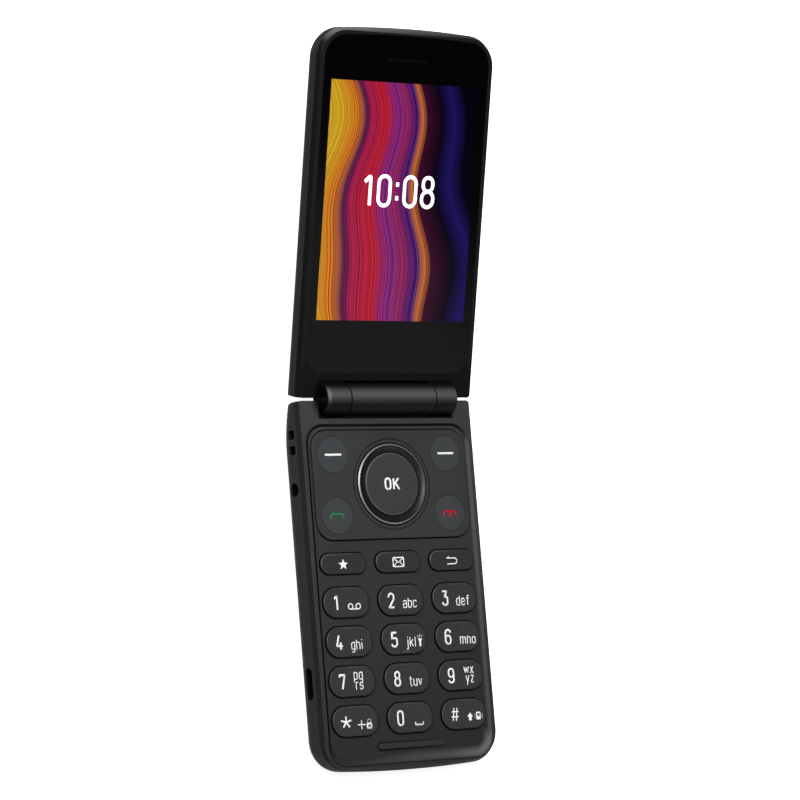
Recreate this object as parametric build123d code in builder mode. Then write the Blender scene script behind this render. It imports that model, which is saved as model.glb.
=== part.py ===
from build123d import *
import math
import os

os.makedirs("parts", exist_ok=True)

# The phone lies on its back on z = 0 with the lid open. X is across, Y runs from the
# keypad's far end towards the hinge, and the origin is the middle of the base's back.

# Both halves
body_width = 54.0
body_reach = 94.45
far_corner_radius = 8.0
end_crown_radius = 290.0
hinge_end_gap = 0.3
hinge_end_rounding = 0.8
open_rise_angle = 15.0
part_line_gap = 0.1
seat_gap = 0.05

# Hinge
hinge_height = 10.0
knuckle_radius = 4.12
knuckle_end = 19.95
knuckle_end_rounding = 0.9
pocket_end_rounding = 1.5
knuckle_seam = 13.2
knuckle_seam_gap = 0.14
knuckle_clearance = 0.45
hinge_bore_radius = 2.7
cartridge_radius = 2.65
cartridge_end = 2.0
cartridge_flat = 2.3
shaft_radius = 1.1
shaft_clearance = 0.08
shaft_reach = 4.0
hinge_head_radius = 2.65
hinge_head_depth = 5.0
sleeve_radius = 2.62
sleeve_wall = 0.6
sleeve_reach = 8.0

# Base casing
rim_drop = 0.4
base_edge_width = 0.75
base_edge_height = 1.4
base_back_rounding = 4.6
back_curve_radius = 35.5
back_curve_length = 13.0
base_wall = 1.6
base_part_line = 1.5
rim_width = 1.1
recess_depth = 0.35
recess_slope = 0.85
recess_top = 6.2
recess_slope_top = 0.6
recess_corner = 5.0
front_wall = 1.25
cavity_top_end = 7.6

# Navigation panel
panel_width = 47.0
panel_top = 7.95
panel_bottom = 35.8
panel_corner = 4.6
panel_gap = 0.3
panel_rise = 0.1
panel_thickness = 1.5
panel_rounding = 0.2
panel_ledge_width = 0.8
panel_ledge_thickness = 0.7
collar_radius = 11.95
collar_depth = 0.12

# Navigation ring and select key
nav_centre = 21.85
ring_radius = 10.35
ring_gap = 0.3
ring_crest_radius = 9.9
ring_crest_rise = 0.2
ring_shoulder_rise = 0.02
ring_bore = 8.3
ring_bore_drop = 0.25
ring_height = 1.8
ring_pad_thickness = 0.3
ring_pad_gap = 0.32
select_radius = 8.1
select_rise = 0.1
select_chamfer = 0.25

# Round keys in the panel
round_key_radius = 4.6
round_key_x = 17.35
soft_key_y = 14.15
call_key_y = 29.65
round_key_gap = 0.1
round_key_flange = 0.35
round_key_stem = 1.5

# Keypad keys
key_width = 13.8
key_height = 7.7
key_corner = 3.75
function_key_height = 5.3
function_key_corner = 2.55
column_pitch = 16.65
function_row_y = 41.8
number_row_y = 51.6
row_pitch = 9.95
key_gap = 0.18
key_drop = 0.2
key_edge_rounding = 0.3
key_flange = 0.45
key_flange_thickness = 0.3
key_travel = 0.25
tactile_bar_length = 2.6
tactile_bar_width = 0.5
tactile_bar_height = 0.2
tactile_bar_drop = 3.2

# Closing pad below the keypad
pad_length = 20.4
pad_width = 1.65
pad_y = 88.3
pad_rise = 0.55
pad_depth = 0.5
pad_gap = 0.08
pad_rounding = 0.4

# Board, key mat and dome sheet
board_bottom = 5.55
board_thickness = 0.8
board_inset = 2.4
board_top_end = 8.0
dome_thickness = 0.15
mat_gap = 0.05
mat_thickness = 0.4
mat_inset = 3.6
mat_top_end = 8.4
plunger_radius = 1.5
plunger_gap = 0.05

# Rear housing and battery
housing_gap = 0.1
housing_top = 5.5
battery_length = 53.0
battery_width = 40.0
battery_thickness = 4.0
battery_x = 1.7
battery_y = 59.2
battery_gap = 0.3
battery_rounding = 0.6
battery_bay_corner = 0.9
contact_width = 13.4
contact_depth = 0.3
contact_height = 2.0
fitting_room = 0.3
fitting_rounding = 0.3
cover_wall = 0.8
cover_rim = 2.7
cover_end = 7.4
cover_edge_gap = 0.15
service_window_width = 42.0
service_window_top = 11.0
service_window_bottom = 29.3
service_window_corner = 1.6
grille_slots = 5
grille_pitch = 2.0
grille_slot_length = 7.0
grille_slot_width = 0.9
speaker_width = 15.0
speaker_length = 8.0
speaker_height = 2.9
speaker_corner = 1.6
speaker_rim = 0.8
speaker_dish = 0.3
speaker_x = -2.0
speaker_y = 16.0
shield_x = 1.0
shield_y = 16.0
shield_width = 22.0
shield_length = 8.0
shield_height = 0.9
motor_radius = 4.0
motor_height = 2.6
motor_x = 16.7
motor_y = 16.2
card_width = 17.0
card_length = 7.4
card_height = 1.6
card_wall = 0.3
card_x = 9.0
card_y = 25.2
microphone_size = 3.0
microphone_height = 1.1
microphone_x = 12.0
microphone_y = 89.3
microphone_hole_radius = 0.45
microphone_hole_drop = 5.4

# Sockets and openings in the left side wall
jack_radius = 1.75
jack_y = 22.55
jack_drop = 4.35
jack_width = 4.1
jack_height = 4.2
jack_bore_depth = 12.25
jack_end_wall = 1.45
port_y = 71.5
port_drop = 4.35
port_length = 8.2
port_height = 2.9
port_shell_wall = 0.2
port_depth = 7.3
port_tongue = 0.7
eyelet_length = 2.3
eyelet_height = 2.7
eyelet_corner = 0.5
eyelet_drop = 4.0
eyelet_first_y = 8.6
eyelet_pitch = 3.9
eyelet_room = 3.2
eyelet_margin = 2.45

# Volume key in the right side wall
volume_y = 21.0
volume_drop = 4.2
volume_length = 14.0
volume_height = 2.4
volume_gap = 0.15
volume_rise = 0.5
volume_rounding = 0.25
volume_flange = 0.45
volume_flange_thickness = 0.5
volume_flange_gap = 0.25

# Casing screws
screw_radius = 0.7
screw_head_radius = 1.3
screw_head_height = 0.7
screw_cross_length = 1.4
screw_cross_width = 0.35
screw_cross_depth = 0.35
screw_length = 4.9
screw_recess = 0.6
screw_clearance = 0.08
boss_radius = 1.5
screw_spots = [(22.2, 9.4), (23.6, 36.4), (20.0, 89.2)]

# Lid casing
lid_face_drop = 0.19
lid_depth = 7.0
lid_edge_width = 0.65
lid_edge_height = 1.4
lid_back_rounding = 3.5
lid_wall = 1.5
lid_part_line = 5.8
lid_cover_wall = 0.8
lid_cover_rim = 1.3

# Display window and what lies behind it
lens_inset = 1.87
lens_bottom = 6.64
lens_corner = 5.5
lens_gap = 0.06
lens_drop = 0.08
lens_thickness = 0.9
earpiece_y = 86.4
earpiece_length = 13.0
earpiece_width = 1.1
mesh_drop = 0.25
mesh_thickness = 0.2
display_width = 49.2
display_length = 67.0
display_thickness = 1.6
display_y = 49.2
display_gap = 0.15
speaker_box_width = 13.6
speaker_box_length = 5.4
midplate_thickness = 0.5
lid_room_bottom = 9.0
lid_board_width = 44.0
lid_board_length = 72.0
lid_board_thickness = 0.6
lid_board_y = 48.0
outer_lens_width = 30.0
outer_lens_length = 44.0
outer_lens_y = 62.0
outer_lens_corner = 4.0
outer_lens_thickness = 0.5
outer_lens_gap = 0.08
outer_display_size = 26.0
outer_display_y = 55.0
camera_y = 77.0
camera_size = 7.0
camera_window_radius = 3.2
camera_ring_wall = 0.6
camera_glass_thickness = 0.4
flash_x = 9.0
flash_radius = 1.5
magnet_width = 8.0
magnet_length = 3.0
magnet_height = 1.2
magnet_x = 16.0
magnet_y = 87.6
lid_screw_spots = [(19.5, 15.5), (19.5, 80.5)]

# Worked-out places
half_width = body_width / 2
hinge_y = body_reach / 2
rim_level = hinge_height - rim_drop
floor_level = rim_level - recess_depth
front_underside = floor_level - front_wall
panel_level = rim_level + panel_rise
panel_seat = panel_level - panel_thickness
key_level = hinge_height - key_drop
key_flange_top = front_underside - seat_gap
key_flange_bottom = key_flange_top - key_flange_thickness
board_top = board_bottom + board_thickness
dome_top = board_top + dome_thickness
mat_bottom = dome_top + mat_gap
mat_top = mat_bottom + mat_thickness
round_flange_top = panel_seat - seat_gap
round_flange_bottom = round_flange_top - key_flange_thickness
jack_room = seat_gap + jack_bore_depth + jack_end_wall + fitting_room
battery_top = cover_wall + seat_gap + battery_thickness
cavity_half = half_width - base_wall
number_rows = [number_row_y + row * row_pitch for row in range(4)]
key_columns = [-column_pitch, 0.0, column_pitch]
key_places = [(x, -y) for y in number_rows for x in key_columns]
function_places = [(x, -function_row_y) for x in key_columns]
round_places = [
    (-round_key_x, -soft_key_y),
    (round_key_x, -soft_key_y),
    (-round_key_x, -call_key_y),
    (round_key_x, -call_key_y),
]
base_screw_places = [(side * x, -y) for x, y in screw_spots for side in (-1, 1)]
lid_screw_places = [(side * x, y) for x, y in lid_screw_spots for side in (-1, 1)]
lens_level = -lid_face_drop - lens_drop
lens_seat = lens_level - lens_thickness
display_level = lens_seat - seat_gap
display_back = display_level - display_thickness
midplate_back = display_back - seat_gap - midplate_thickness
lid_board_back = midplate_back - seat_gap - lid_board_thickness
hinge_axis = Axis((0, hinge_y, hinge_height), (1, 0, 0))
lid_up = (0, -math.sin(math.radians(open_rise_angle)), math.cos(math.radians(open_rise_angle)))
lid_along = (0, math.cos(math.radians(open_rise_angle)), math.sin(math.radians(open_rise_angle)))
lid_axis = Axis((0, hinge_y, hinge_height), lid_up)


def base_plane(height):
    """Plane level with the table, its origin under the hinge axis."""
    return Plane(origin=(0, hinge_y, height))


def side_plane(x):
    """Plane square to the hinge axis, its origin on the axis, +Z up."""
    return Plane(origin=(x, hinge_y, hinge_height), x_dir=(0, 1, 0), z_dir=(1, 0, 0))


def lid_plane(level):
    """Plane along the open lid, its origin on or under the hinge axis."""
    return Plane(origin=(0, hinge_y, hinge_height), x_dir=(1, 0, 0), z_dir=lid_up).offset(level)


def lid_edge_plane(x):
    """Plane square to the hinge axis, turned with the open lid."""
    return Plane(origin=(x, hinge_y, hinge_height), x_dir=lid_along, z_dir=(1, 0, 0))


def crown_drop(radius, half):
    """How far a crowned end falls back at the given distance from its middle."""
    return radius - math.sqrt(radius**2 - half**2)


def half_outline(direction, near, inset=0.0, near_corner=0.0):
    """One half of the phone from the front: straight sides and a crowned far end."""
    half = half_width - inset
    far = body_reach - inset
    shoulder = far - crown_drop(end_crown_radius, half)
    with BuildSketch() as outline:
        with BuildLine():
            ThreePointArc(
                (-half, direction * shoulder), (0, direction * far), (half, direction * shoulder)
            )
            Polyline(
                (half, direction * shoulder),
                (half, near),
                (-half, near),
                (-half, direction * shoulder),
            )
        make_face()
        corners = outline.vertices().sort_by(Axis.Y, reverse=direction > 0)
        fillet(corners[:2], far_corner_radius - inset)
        if near_corner:
            near_ends = outline.vertices().sort_by(Axis.Y, reverse=direction < 0)
            fillet(near_ends[:2], near_corner)
    return outline.sketch


def hinge_distance(shape):
    """Distance of a shape's middle from the hinge axis, seen from the side."""
    middle = shape.center()
    return math.hypot(middle.Y - hinge_y, middle.Z - hinge_height)


def hinge_corner_edges(body):
    """Upright edges at both ends of a half's straight end, next to the hinge."""
    flat = body.faces().filter_by(GeomType.PLANE)
    end = flat.sort_by(hinge_distance)[0]
    straight = end.edges().filter_by(GeomType.LINE)
    outer = [edge for edge in straight if abs(edge.center().X) > half_width - 2 * base_edge_width]
    return [edge for edge in outer if edge.length > seat_gap]


def base_body(top):
    """Solid form of the keypad half, from its back to the given height."""
    with BuildPart() as body:
        with BuildSketch(base_plane(0)):
            add(half_outline(-1, -hinge_end_gap))
        extrude(amount=top)
        start = -back_curve_length
        rise = crown_drop(back_curve_radius, back_curve_length)
        halfway = crown_drop(back_curve_radius, back_curve_length / 2)
        with BuildSketch(side_plane(-half_width)):
            with BuildLine():
                ThreePointArc(
                    (start, -hinge_height),
                    (start / 2, halfway - hinge_height),
                    (0, rise - hinge_height),
                )
                Polyline((0, rise - hinge_height), (0, -hinge_height), (start, -hinge_height))
            make_face()
        extrude(amount=body_width, mode=Mode.SUBTRACT)
        low = body.edges().filter_by(lambda edge: edge.bounding_box().max.Z < rise + seat_gap)
        fillet(low.filter_by(Axis.X, reverse=True), base_back_rounding)
    return body.part


def lid_body(top, bottom):
    """Solid form of the display half between two levels below the hinge axis."""
    with BuildPart() as body:
        with BuildSketch(lid_plane(-lid_depth)):
            add(half_outline(1, hinge_end_gap))
        extrude(amount=lid_depth - lid_face_drop)
        back = body.faces().sort_by(lid_axis)[0]
        fillet(back.edges().sort_by(hinge_distance)[1:], lid_back_rounding)
        if top > -lid_face_drop - seat_gap:
            face = body.faces().sort_by(lid_axis)[-1]
            chamfer(
                face.edges().sort_by(hinge_distance)[1:],
                lid_edge_width,
                lid_edge_height,
                reference=face,
            )
            fillet(hinge_corner_edges(body), hinge_end_rounding)
        for level, keep in ((top, Keep.BOTTOM), (bottom, Keep.TOP)):
            if -lid_depth < level < -lid_face_drop:
                split(bisect_by=lid_plane(level), keep=keep)
    return body.part


def knuckle_profile(start, end, radius, rounding):
    """Half section of a form turned about the hinge axis, with its outer end corner rounded."""
    with BuildSketch() as profile:
        with BuildLine():
            Polyline((start, 0), (end, 0), (end, radius), (start, radius), close=True)
        make_face()
        fillet(profile.vertices().sort_by_distance((end, radius))[0], rounding)
    return profile.sketch


# Front housing: the keypad face, side walls and the middle knuckle of the hinge
with BuildPart() as base_front_housing:
    add(base_body(rim_level))
    with BuildSketch(base_plane(0)):
        with Locations((0, -cover_end)):
            Rectangle(body_width, body_reach, align=(Align.CENTER, Align.MAX))
    extrude(amount=base_part_line + part_line_gap, mode=Mode.SUBTRACT)
    rim_face = base_front_housing.faces().sort_by(Axis.Z)[-1]
    chamfer(
        rim_face.edges().sort_by(Axis.Y)[:-1],
        base_edge_width,
        base_edge_height,
        reference=rim_face,
    )
    fillet(hinge_corner_edges(base_front_housing), hinge_end_rounding)
    # Recess for the keys, sloping from the rim to its floor
    for level, grow in ((rim_level, 0), (floor_level, 1)):
        with BuildSketch(base_plane(level)):
            top = -recess_top - grow * recess_slope_top
            inset = base_edge_width + rim_width + grow * recess_slope
            add(half_outline(-1, top, inset, recess_corner - grow))
    loft(mode=Mode.SUBTRACT)
    # Room inside for the board, keys and battery
    with BuildSketch(base_plane(0)):
        add(half_outline(-1, -cavity_top_end, base_wall, base_wall))
    extrude(amount=front_underside, mode=Mode.SUBTRACT)
    # Ledge that carries the navigation panel
    panel_middle = -(panel_top + panel_bottom) / 2
    panel_length = panel_bottom - panel_top
    with BuildSketch(base_plane(panel_seat - panel_ledge_thickness)):
        with Locations((0, panel_middle)):
            Rectangle(2 * cavity_half, panel_length + 2 * base_wall)
    extrude(amount=front_underside + seat_gap - panel_seat + panel_ledge_thickness)
    with BuildSketch(base_plane(panel_seat)):
        with Locations((0, panel_middle)):
            RectangleRounded(
                panel_width + 2 * panel_gap, panel_length + 2 * panel_gap, panel_corner + panel_gap
            )
    extrude(amount=recess_depth + panel_thickness, mode=Mode.SUBTRACT)
    with BuildSketch(base_plane(panel_seat - panel_ledge_thickness)):
        with Locations((0, panel_middle)):
            RectangleRounded(
                panel_width - 2 * panel_ledge_width,
                panel_length - 2 * panel_ledge_width,
                panel_corner - panel_ledge_width,
            )
    extrude(amount=panel_thickness + panel_ledge_thickness, mode=Mode.SUBTRACT)
    with BuildSketch(side_plane(-cavity_half)):
        with Locations((-jack_y, -jack_drop)):
            Rectangle(jack_width + 2 * seat_gap, jack_height + 2 * seat_gap)
    extrude(amount=jack_room, mode=Mode.SUBTRACT)
    # Key openings
    with BuildSketch(base_plane(front_underside - seat_gap)):
        with Locations(*key_places):
            RectangleRounded(key_width + 2 * key_gap, key_height + 2 * key_gap, key_corner + key_gap)
        with Locations(*function_places):
            RectangleRounded(
                key_width + 2 * key_gap,
                function_key_height + 2 * key_gap,
                function_key_corner + key_gap,
            )
    extrude(amount=front_wall + 2 * seat_gap, mode=Mode.SUBTRACT)
    with BuildSketch(base_plane(floor_level - pad_depth)):
        with Locations((0, -pad_y)):
            SlotOverall(pad_length + 2 * pad_gap, pad_width + 2 * pad_gap)
    extrude(amount=pad_depth + seat_gap, mode=Mode.SUBTRACT)
    # Screw bosses, fused to the walls
    with BuildSketch(base_plane(housing_top + seat_gap)):
        with Locations(*base_screw_places):
            Circle(boss_radius)
    extrude(amount=front_underside - housing_top)
    with BuildSketch(base_plane(housing_top)):
        with Locations(*base_screw_places):
            Circle(screw_radius + screw_clearance)
    extrude(amount=front_underside - housing_top - seat_gap, mode=Mode.SUBTRACT)
    # Hinge: middle knuckle, pockets for the lid's knuckles, bore for the cartridge
    with BuildSketch(base_plane(hinge_height)):
        start = knuckle_seam - knuckle_seam_gap / 2
        end = knuckle_end + knuckle_clearance
        add(knuckle_profile(start, end, knuckle_radius + knuckle_clearance, pocket_end_rounding))
        mirror(about=Plane.YZ)
    revolve(axis=hinge_axis, mode=Mode.SUBTRACT)
    with BuildSketch(side_plane(-knuckle_seam + knuckle_seam_gap / 2)):
        Circle(knuckle_radius)
    extrude(amount=2 * knuckle_seam - knuckle_seam_gap)
    with BuildSketch(side_plane(-knuckle_seam)):
        Circle(hinge_bore_radius)
    extrude(amount=2 * knuckle_seam, mode=Mode.SUBTRACT)
    # Openings in the left wall: lanyard eyelet, headset jack, charging port
    with BuildSketch(side_plane(-half_width)):
        with Locations((-eyelet_first_y, -eyelet_drop)):
            RectangleRounded(eyelet_length, eyelet_height, eyelet_corner)
        with Locations((-eyelet_first_y - eyelet_pitch, -eyelet_drop)):
            RectangleRounded(eyelet_length, eyelet_height, eyelet_corner)
        with Locations((-jack_y, -jack_drop)):
            Circle(jack_radius)
        with Locations((-port_y, -port_drop)):
            SlotOverall(port_length, port_height)
    extrude(amount=base_wall + seat_gap, mode=Mode.SUBTRACT)
    # Opening in the right wall for the volume key, and a microphone hole at the far end
    with BuildSketch(side_plane(half_width)):
        with Locations((-volume_y, -volume_drop)):
            SlotOverall(volume_length + 2 * volume_gap, volume_height + 2 * volume_gap)
    extrude(amount=-base_wall - seat_gap, mode=Mode.SUBTRACT)
    hole_height = hinge_height - microphone_hole_drop
    with BuildSketch(Plane(origin=(microphone_x, hinge_y - body_reach, hole_height), z_dir=(0, 1, 0))):
        Circle(microphone_hole_radius)
    extrude(amount=2 * base_wall, mode=Mode.SUBTRACT)
base_front_housing.part.label = "base_front_housing"
export_step(base_front_housing.part, "parts/base_front_housing.step")

# Rear housing: battery bay, service window and screw seats, closed off by the cover
with BuildPart() as base_rear_housing:
    with BuildSketch(base_plane(base_part_line + part_line_gap)):
        near = -cavity_top_end - housing_gap
        add(half_outline(-1, near, base_wall + housing_gap, base_wall - housing_gap))
    extrude(amount=housing_top - base_part_line - part_line_gap)
    with BuildSketch(base_plane(0)):
        with Locations((battery_x, -battery_y)):
            RectangleRounded(
                battery_width + 2 * battery_gap, battery_length + 2 * battery_gap, battery_bay_corner
            )
    extrude(amount=battery_top + seat_gap, mode=Mode.SUBTRACT)
    with BuildSketch(base_plane(0)):
        with Locations((0, -(service_window_top + service_window_bottom) / 2)):
            RectangleRounded(
                service_window_width,
                service_window_bottom - service_window_top,
                service_window_corner,
            )
        with Locations((-cavity_half, -jack_y)):
            Rectangle(2 * jack_room, jack_width + 2 * fitting_room)
        with Locations((-cavity_half, -eyelet_first_y - eyelet_pitch / 2)):
            Rectangle(2 * eyelet_room, eyelet_pitch + eyelet_length + eyelet_margin)
        with Locations((cavity_half, -volume_y)):
            Rectangle(2 * eyelet_room, volume_length + 4 * volume_flange)
        with Locations((microphone_x, -microphone_y)):
            Rectangle(microphone_size + 2 * fitting_room, microphone_size + 2 * fitting_room)
        with Locations((-cavity_half, -port_y)):
            Rectangle(2 * port_depth, port_length + 2 * port_shell_wall + 2 * fitting_room)
    extrude(amount=hinge_height, mode=Mode.SUBTRACT)
    with BuildSketch(base_plane(0)):
        with Locations(*base_screw_places):
            Circle(screw_radius + screw_clearance)
    extrude(amount=hinge_height, mode=Mode.SUBTRACT)
    with BuildSketch(base_plane(0)):
        with Locations(*base_screw_places):
            Circle(screw_head_radius + screw_clearance)
    extrude(
        amount=base_part_line + part_line_gap + screw_recess + screw_head_height,
        mode=Mode.SUBTRACT,
    )
base_rear_housing.part.label = "base_rear_housing"
export_step(base_rear_housing.part, "parts/base_rear_housing.step")

# Battery cover: the curved back, dished inside, with sound slots and a nail notch
with BuildPart() as battery_cover:
    add(base_body(rim_level))
    with BuildSketch(base_plane(base_part_line)):
        Rectangle(2 * body_width, 2 * body_reach + body_width)
    extrude(amount=hinge_height, mode=Mode.SUBTRACT)
    with BuildSketch(base_plane(0)):
        with Locations((0, -cover_end - cover_edge_gap)):
            Rectangle(body_width, body_reach, align=(Align.CENTER, Align.MIN))
    extrude(amount=hinge_height, mode=Mode.SUBTRACT)
    with BuildSketch(base_plane(cover_wall)):
        add(half_outline(-1, -cover_end - cover_rim, cover_rim, cover_wall))
    extrude(amount=base_part_line, mode=Mode.SUBTRACT)
    with BuildSketch(base_plane(0)):
        with Locations((speaker_x, -speaker_y)):
            with GridLocations(grille_pitch, 0, grille_slots, 1):
                SlotOverall(grille_slot_length, grille_slot_width, rotation=90)
    extrude(amount=base_part_line, mode=Mode.SUBTRACT)
    notch = base_body(rim_level).bounding_box().min.Y
    with BuildSketch(Plane(origin=(0, notch, base_part_line), z_dir=(0, 1, 0))):
        SlotOverall(grille_slot_length, grille_slot_width)
    extrude(amount=base_wall, mode=Mode.SUBTRACT)
battery_cover.part.label = "battery_cover"
export_step(battery_cover.part, "parts/battery_cover.step")

# Battery, with its contact strip at the hinge end
with BuildPart() as battery:
    with BuildSketch(base_plane(cover_wall + seat_gap)):
        with Locations((battery_x, -battery_y)):
            Rectangle(battery_width, battery_length)
    extrude(amount=battery_thickness)
    fillet(battery.edges().filter_by(Axis.Y), battery_rounding)
    contact_drop = hinge_height - battery_top + battery_thickness / 2
    with BuildSketch(side_plane(battery_x)):
        with Locations((-battery_y + battery_length / 2, -contact_drop)):
            Rectangle(2 * contact_depth, contact_height)
    extrude(amount=contact_width / 2, both=True, mode=Mode.SUBTRACT)
battery.part.label = "battery"
export_step(battery.part, "parts/battery.step")


def board_cutouts(clearance):
    """Clear the sockets, eyelet room, volume key and screw bosses out of a board or sheet."""
    with BuildSketch() as cutouts:
        with Locations((-cavity_half, -jack_y)):
            Rectangle(2 * jack_room + 2 * clearance, jack_width + 2 * clearance)
        with Locations((-cavity_half, -port_y)):
            Rectangle(
                2 * (port_depth + clearance), port_length + 2 * port_shell_wall + 2 * clearance
            )
        with Locations((-cavity_half, -eyelet_first_y - eyelet_pitch / 2)):
            Rectangle(2 * eyelet_room, eyelet_pitch + eyelet_length + eyelet_margin)
        with Locations((cavity_half, -volume_y)):
            Rectangle(2 * eyelet_room, volume_length + 4 * volume_flange)
        with Locations(*base_screw_places):
            Circle(boss_radius + clearance)
    return cutouts.sketch


# Main board
with BuildPart() as main_board:
    with BuildSketch(base_plane(board_bottom)):
        add(half_outline(-1, -board_top_end, board_inset, base_wall))
        add(board_cutouts(fitting_room), mode=Mode.SUBTRACT)
    extrude(amount=board_thickness)
main_board.part.label = "main_board"
export_step(main_board.part, "parts/main_board.step")

# Sheet of domes on the board, one raised dome under each key
with BuildPart() as dome_sheet:
    with BuildSketch(base_plane(board_top)):
        add(half_outline(-1, -mat_top_end, mat_inset, base_wall))
        add(board_cutouts(fitting_room), mode=Mode.SUBTRACT)
    extrude(amount=dome_thickness)
dome_sheet.part.label = "dome_sheet"
export_step(dome_sheet.part, "parts/dome_sheet.step")

# Rubber key mat with a plunger under every key
plunger_top = key_flange_bottom - key_travel - plunger_gap
with BuildPart() as key_mat:
    with BuildSketch(base_plane(mat_bottom)):
        add(half_outline(-1, -mat_top_end, mat_inset, base_wall))
        add(board_cutouts(fitting_room), mode=Mode.SUBTRACT)
    extrude(amount=mat_thickness)
    with BuildSketch(base_plane(mat_top)):
        with Locations(*key_places, *function_places, *round_places, (0, -nav_centre)):
            Circle(plunger_radius)
    extrude(amount=plunger_top - mat_top)
key_mat.part.label = "key_mat"
export_step(key_mat.part, "parts/key_mat.step")

# Navigation panel, seated on its ledge, with a shallow collar round the ring
with BuildPart() as nav_panel:
    with BuildSketch(base_plane(panel_seat)):
        with Locations((0, panel_middle)):
            RectangleRounded(panel_width, panel_length, panel_corner)
        with Locations((0, -nav_centre)):
            Circle(ring_radius + ring_gap, mode=Mode.SUBTRACT)
        with Locations(*round_places):
            Circle(round_key_radius + round_key_gap, mode=Mode.SUBTRACT)
    extrude(amount=panel_thickness)
    top_face = nav_panel.faces().sort_by(Axis.Z)[-1]
    fillet(top_face.outer_wire().edges(), panel_rounding)
    with BuildSketch(base_plane(panel_level - collar_depth)):
        with Locations((0, -nav_centre)):
            Circle(collar_radius)
            Circle(ring_radius + ring_gap, mode=Mode.SUBTRACT)
    extrude(amount=collar_depth, mode=Mode.SUBTRACT)
nav_panel.part.label = "nav_panel"
export_step(nav_panel.part, "parts/nav_panel.step")

# Round keys flush in the panel: left and right soft keys, call and end
for name, place in zip(("soft_key_left", "soft_key_right", "call_key", "end_key"), round_places):
    with BuildPart() as round_key:
        with BuildSketch(base_plane(round_flange_top)):
            with Locations(place):
                Circle(round_key_radius)
        extrude(amount=panel_level - round_flange_top)
        with BuildSketch(base_plane(round_flange_bottom)):
            with Locations(place):
                Circle(round_key_radius + round_key_flange)
        extrude(amount=key_flange_thickness)
        with BuildSketch(base_plane(key_flange_bottom)):
            with Locations(place):
                Circle(round_key_stem)
        extrude(amount=round_flange_bottom - key_flange_bottom)
    round_key.part.label = name
    export_step(round_key.part, f"parts/{name}.step")

# Select key in the middle of the ring
select_level = panel_level + select_rise
with BuildPart() as select_key:
    with BuildSketch(base_plane(key_flange_bottom)):
        with Locations((0, -nav_centre)):
            Circle(select_radius)
    extrude(amount=select_level - key_flange_bottom)
    chamfer(select_key.faces().sort_by(Axis.Z)[-1].edges(), select_chamfer)
select_key.part.label = "select_key"
export_step(select_key.part, "parts/select_key.step")

# Navigation ring: chamfered outside, dished towards the select key
ring_bottom = panel_level - ring_height
with BuildPart() as nav_ring:
    with BuildSketch(Plane(origin=(0, hinge_y - nav_centre, 0), x_dir=(1, 0, 0), z_dir=(0, -1, 0))):
        with BuildLine():
            Polyline(
                (ring_bore, ring_bottom),
                (ring_radius, ring_bottom),
                (ring_radius, panel_level + ring_shoulder_rise),
                (ring_crest_radius, panel_level + ring_crest_rise),
            )
            ThreePointArc(
                (ring_crest_radius, panel_level + ring_crest_rise),
                (
                    (ring_crest_radius + ring_bore) / 2 - ring_shoulder_rise,
                    panel_level - ring_bore_drop / 2,
                ),
                (ring_bore, panel_level - ring_bore_drop),
            )
            Line((ring_bore, panel_level - ring_bore_drop), (ring_bore, ring_bottom))
        make_face()
    revolve(axis=Axis((0, hinge_y - nav_centre, 0), (0, 0, 1)))
nav_ring.part.label = "nav_ring"
export_step(nav_ring.part, "parts/nav_ring.step")

# Rocking pad under the ring: it tips left and right, the ring tips up and down on it
ring_pad_top = ring_bottom - ring_pad_gap
with BuildPart() as nav_ring_pad:
    with BuildSketch(base_plane(ring_pad_top - ring_pad_thickness)):
        with Locations((0, -nav_centre)):
            Circle(ring_radius - ring_gap)
            Circle(ring_bore + ring_gap, mode=Mode.SUBTRACT)
    extrude(amount=ring_pad_thickness)
nav_ring_pad.part.label = "nav_ring_pad"
export_step(nav_ring_pad.part, "parts/nav_ring_pad.step")


def keypad_key(place, height, corner):
    """Cap that stands in the face, with the flange that holds it under the face."""
    with BuildPart() as key:
        with BuildSketch(base_plane(key_flange_top)):
            with Locations(place):
                RectangleRounded(key_width, height, corner)
        extrude(amount=key_level - key_flange_top)
        fillet(key.faces().sort_by(Axis.Z)[-1].edges(), key_edge_rounding)
        with BuildSketch(base_plane(key_flange_bottom)):
            with Locations(place):
                RectangleRounded(
                    key_width + 2 * key_flange, height + 2 * key_flange, corner + key_flange
                )
        extrude(amount=key_flange_thickness)
    return key.part


# Function keys under the panel
for name, place in zip(("star_function_key", "message_key", "back_key"), function_places):
    with BuildPart() as function_key:
        add(keypad_key(place, function_key_height, function_key_corner))
    function_key.part.label = name
    export_step(function_key.part, f"parts/{name}.step")

# Number keys; the 5 has a raised bar to find it by touch
number_names = [f"key_{digit}" for digit in range(1, 10)] + ["key_star", "key_0", "key_hash"]
for name, place in zip(number_names, key_places):
    with BuildPart() as number_key:
        add(keypad_key(place, key_height, key_corner))
        if name == "key_5":
            with BuildSketch(base_plane(key_level)):
                with Locations((place[0], place[1] - tactile_bar_drop)):
                    SlotOverall(tactile_bar_length, tactile_bar_width)
            extrude(amount=tactile_bar_height)
    number_key.part.label = name
    export_step(number_key.part, f"parts/{name}.step")

# Soft bar below the keys, set in a shallow slot
with BuildPart() as closing_pad:
    with BuildSketch(base_plane(floor_level - pad_depth)):
        with Locations((0, -pad_y)):
            SlotOverall(pad_length, pad_width)
    extrude(amount=pad_depth + pad_rise)
    fillet(closing_pad.faces().sort_by(Axis.Z)[-1].edges(), pad_rounding)
closing_pad.part.label = "closing_pad"
export_step(closing_pad.part, "parts/closing_pad.step")

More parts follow.
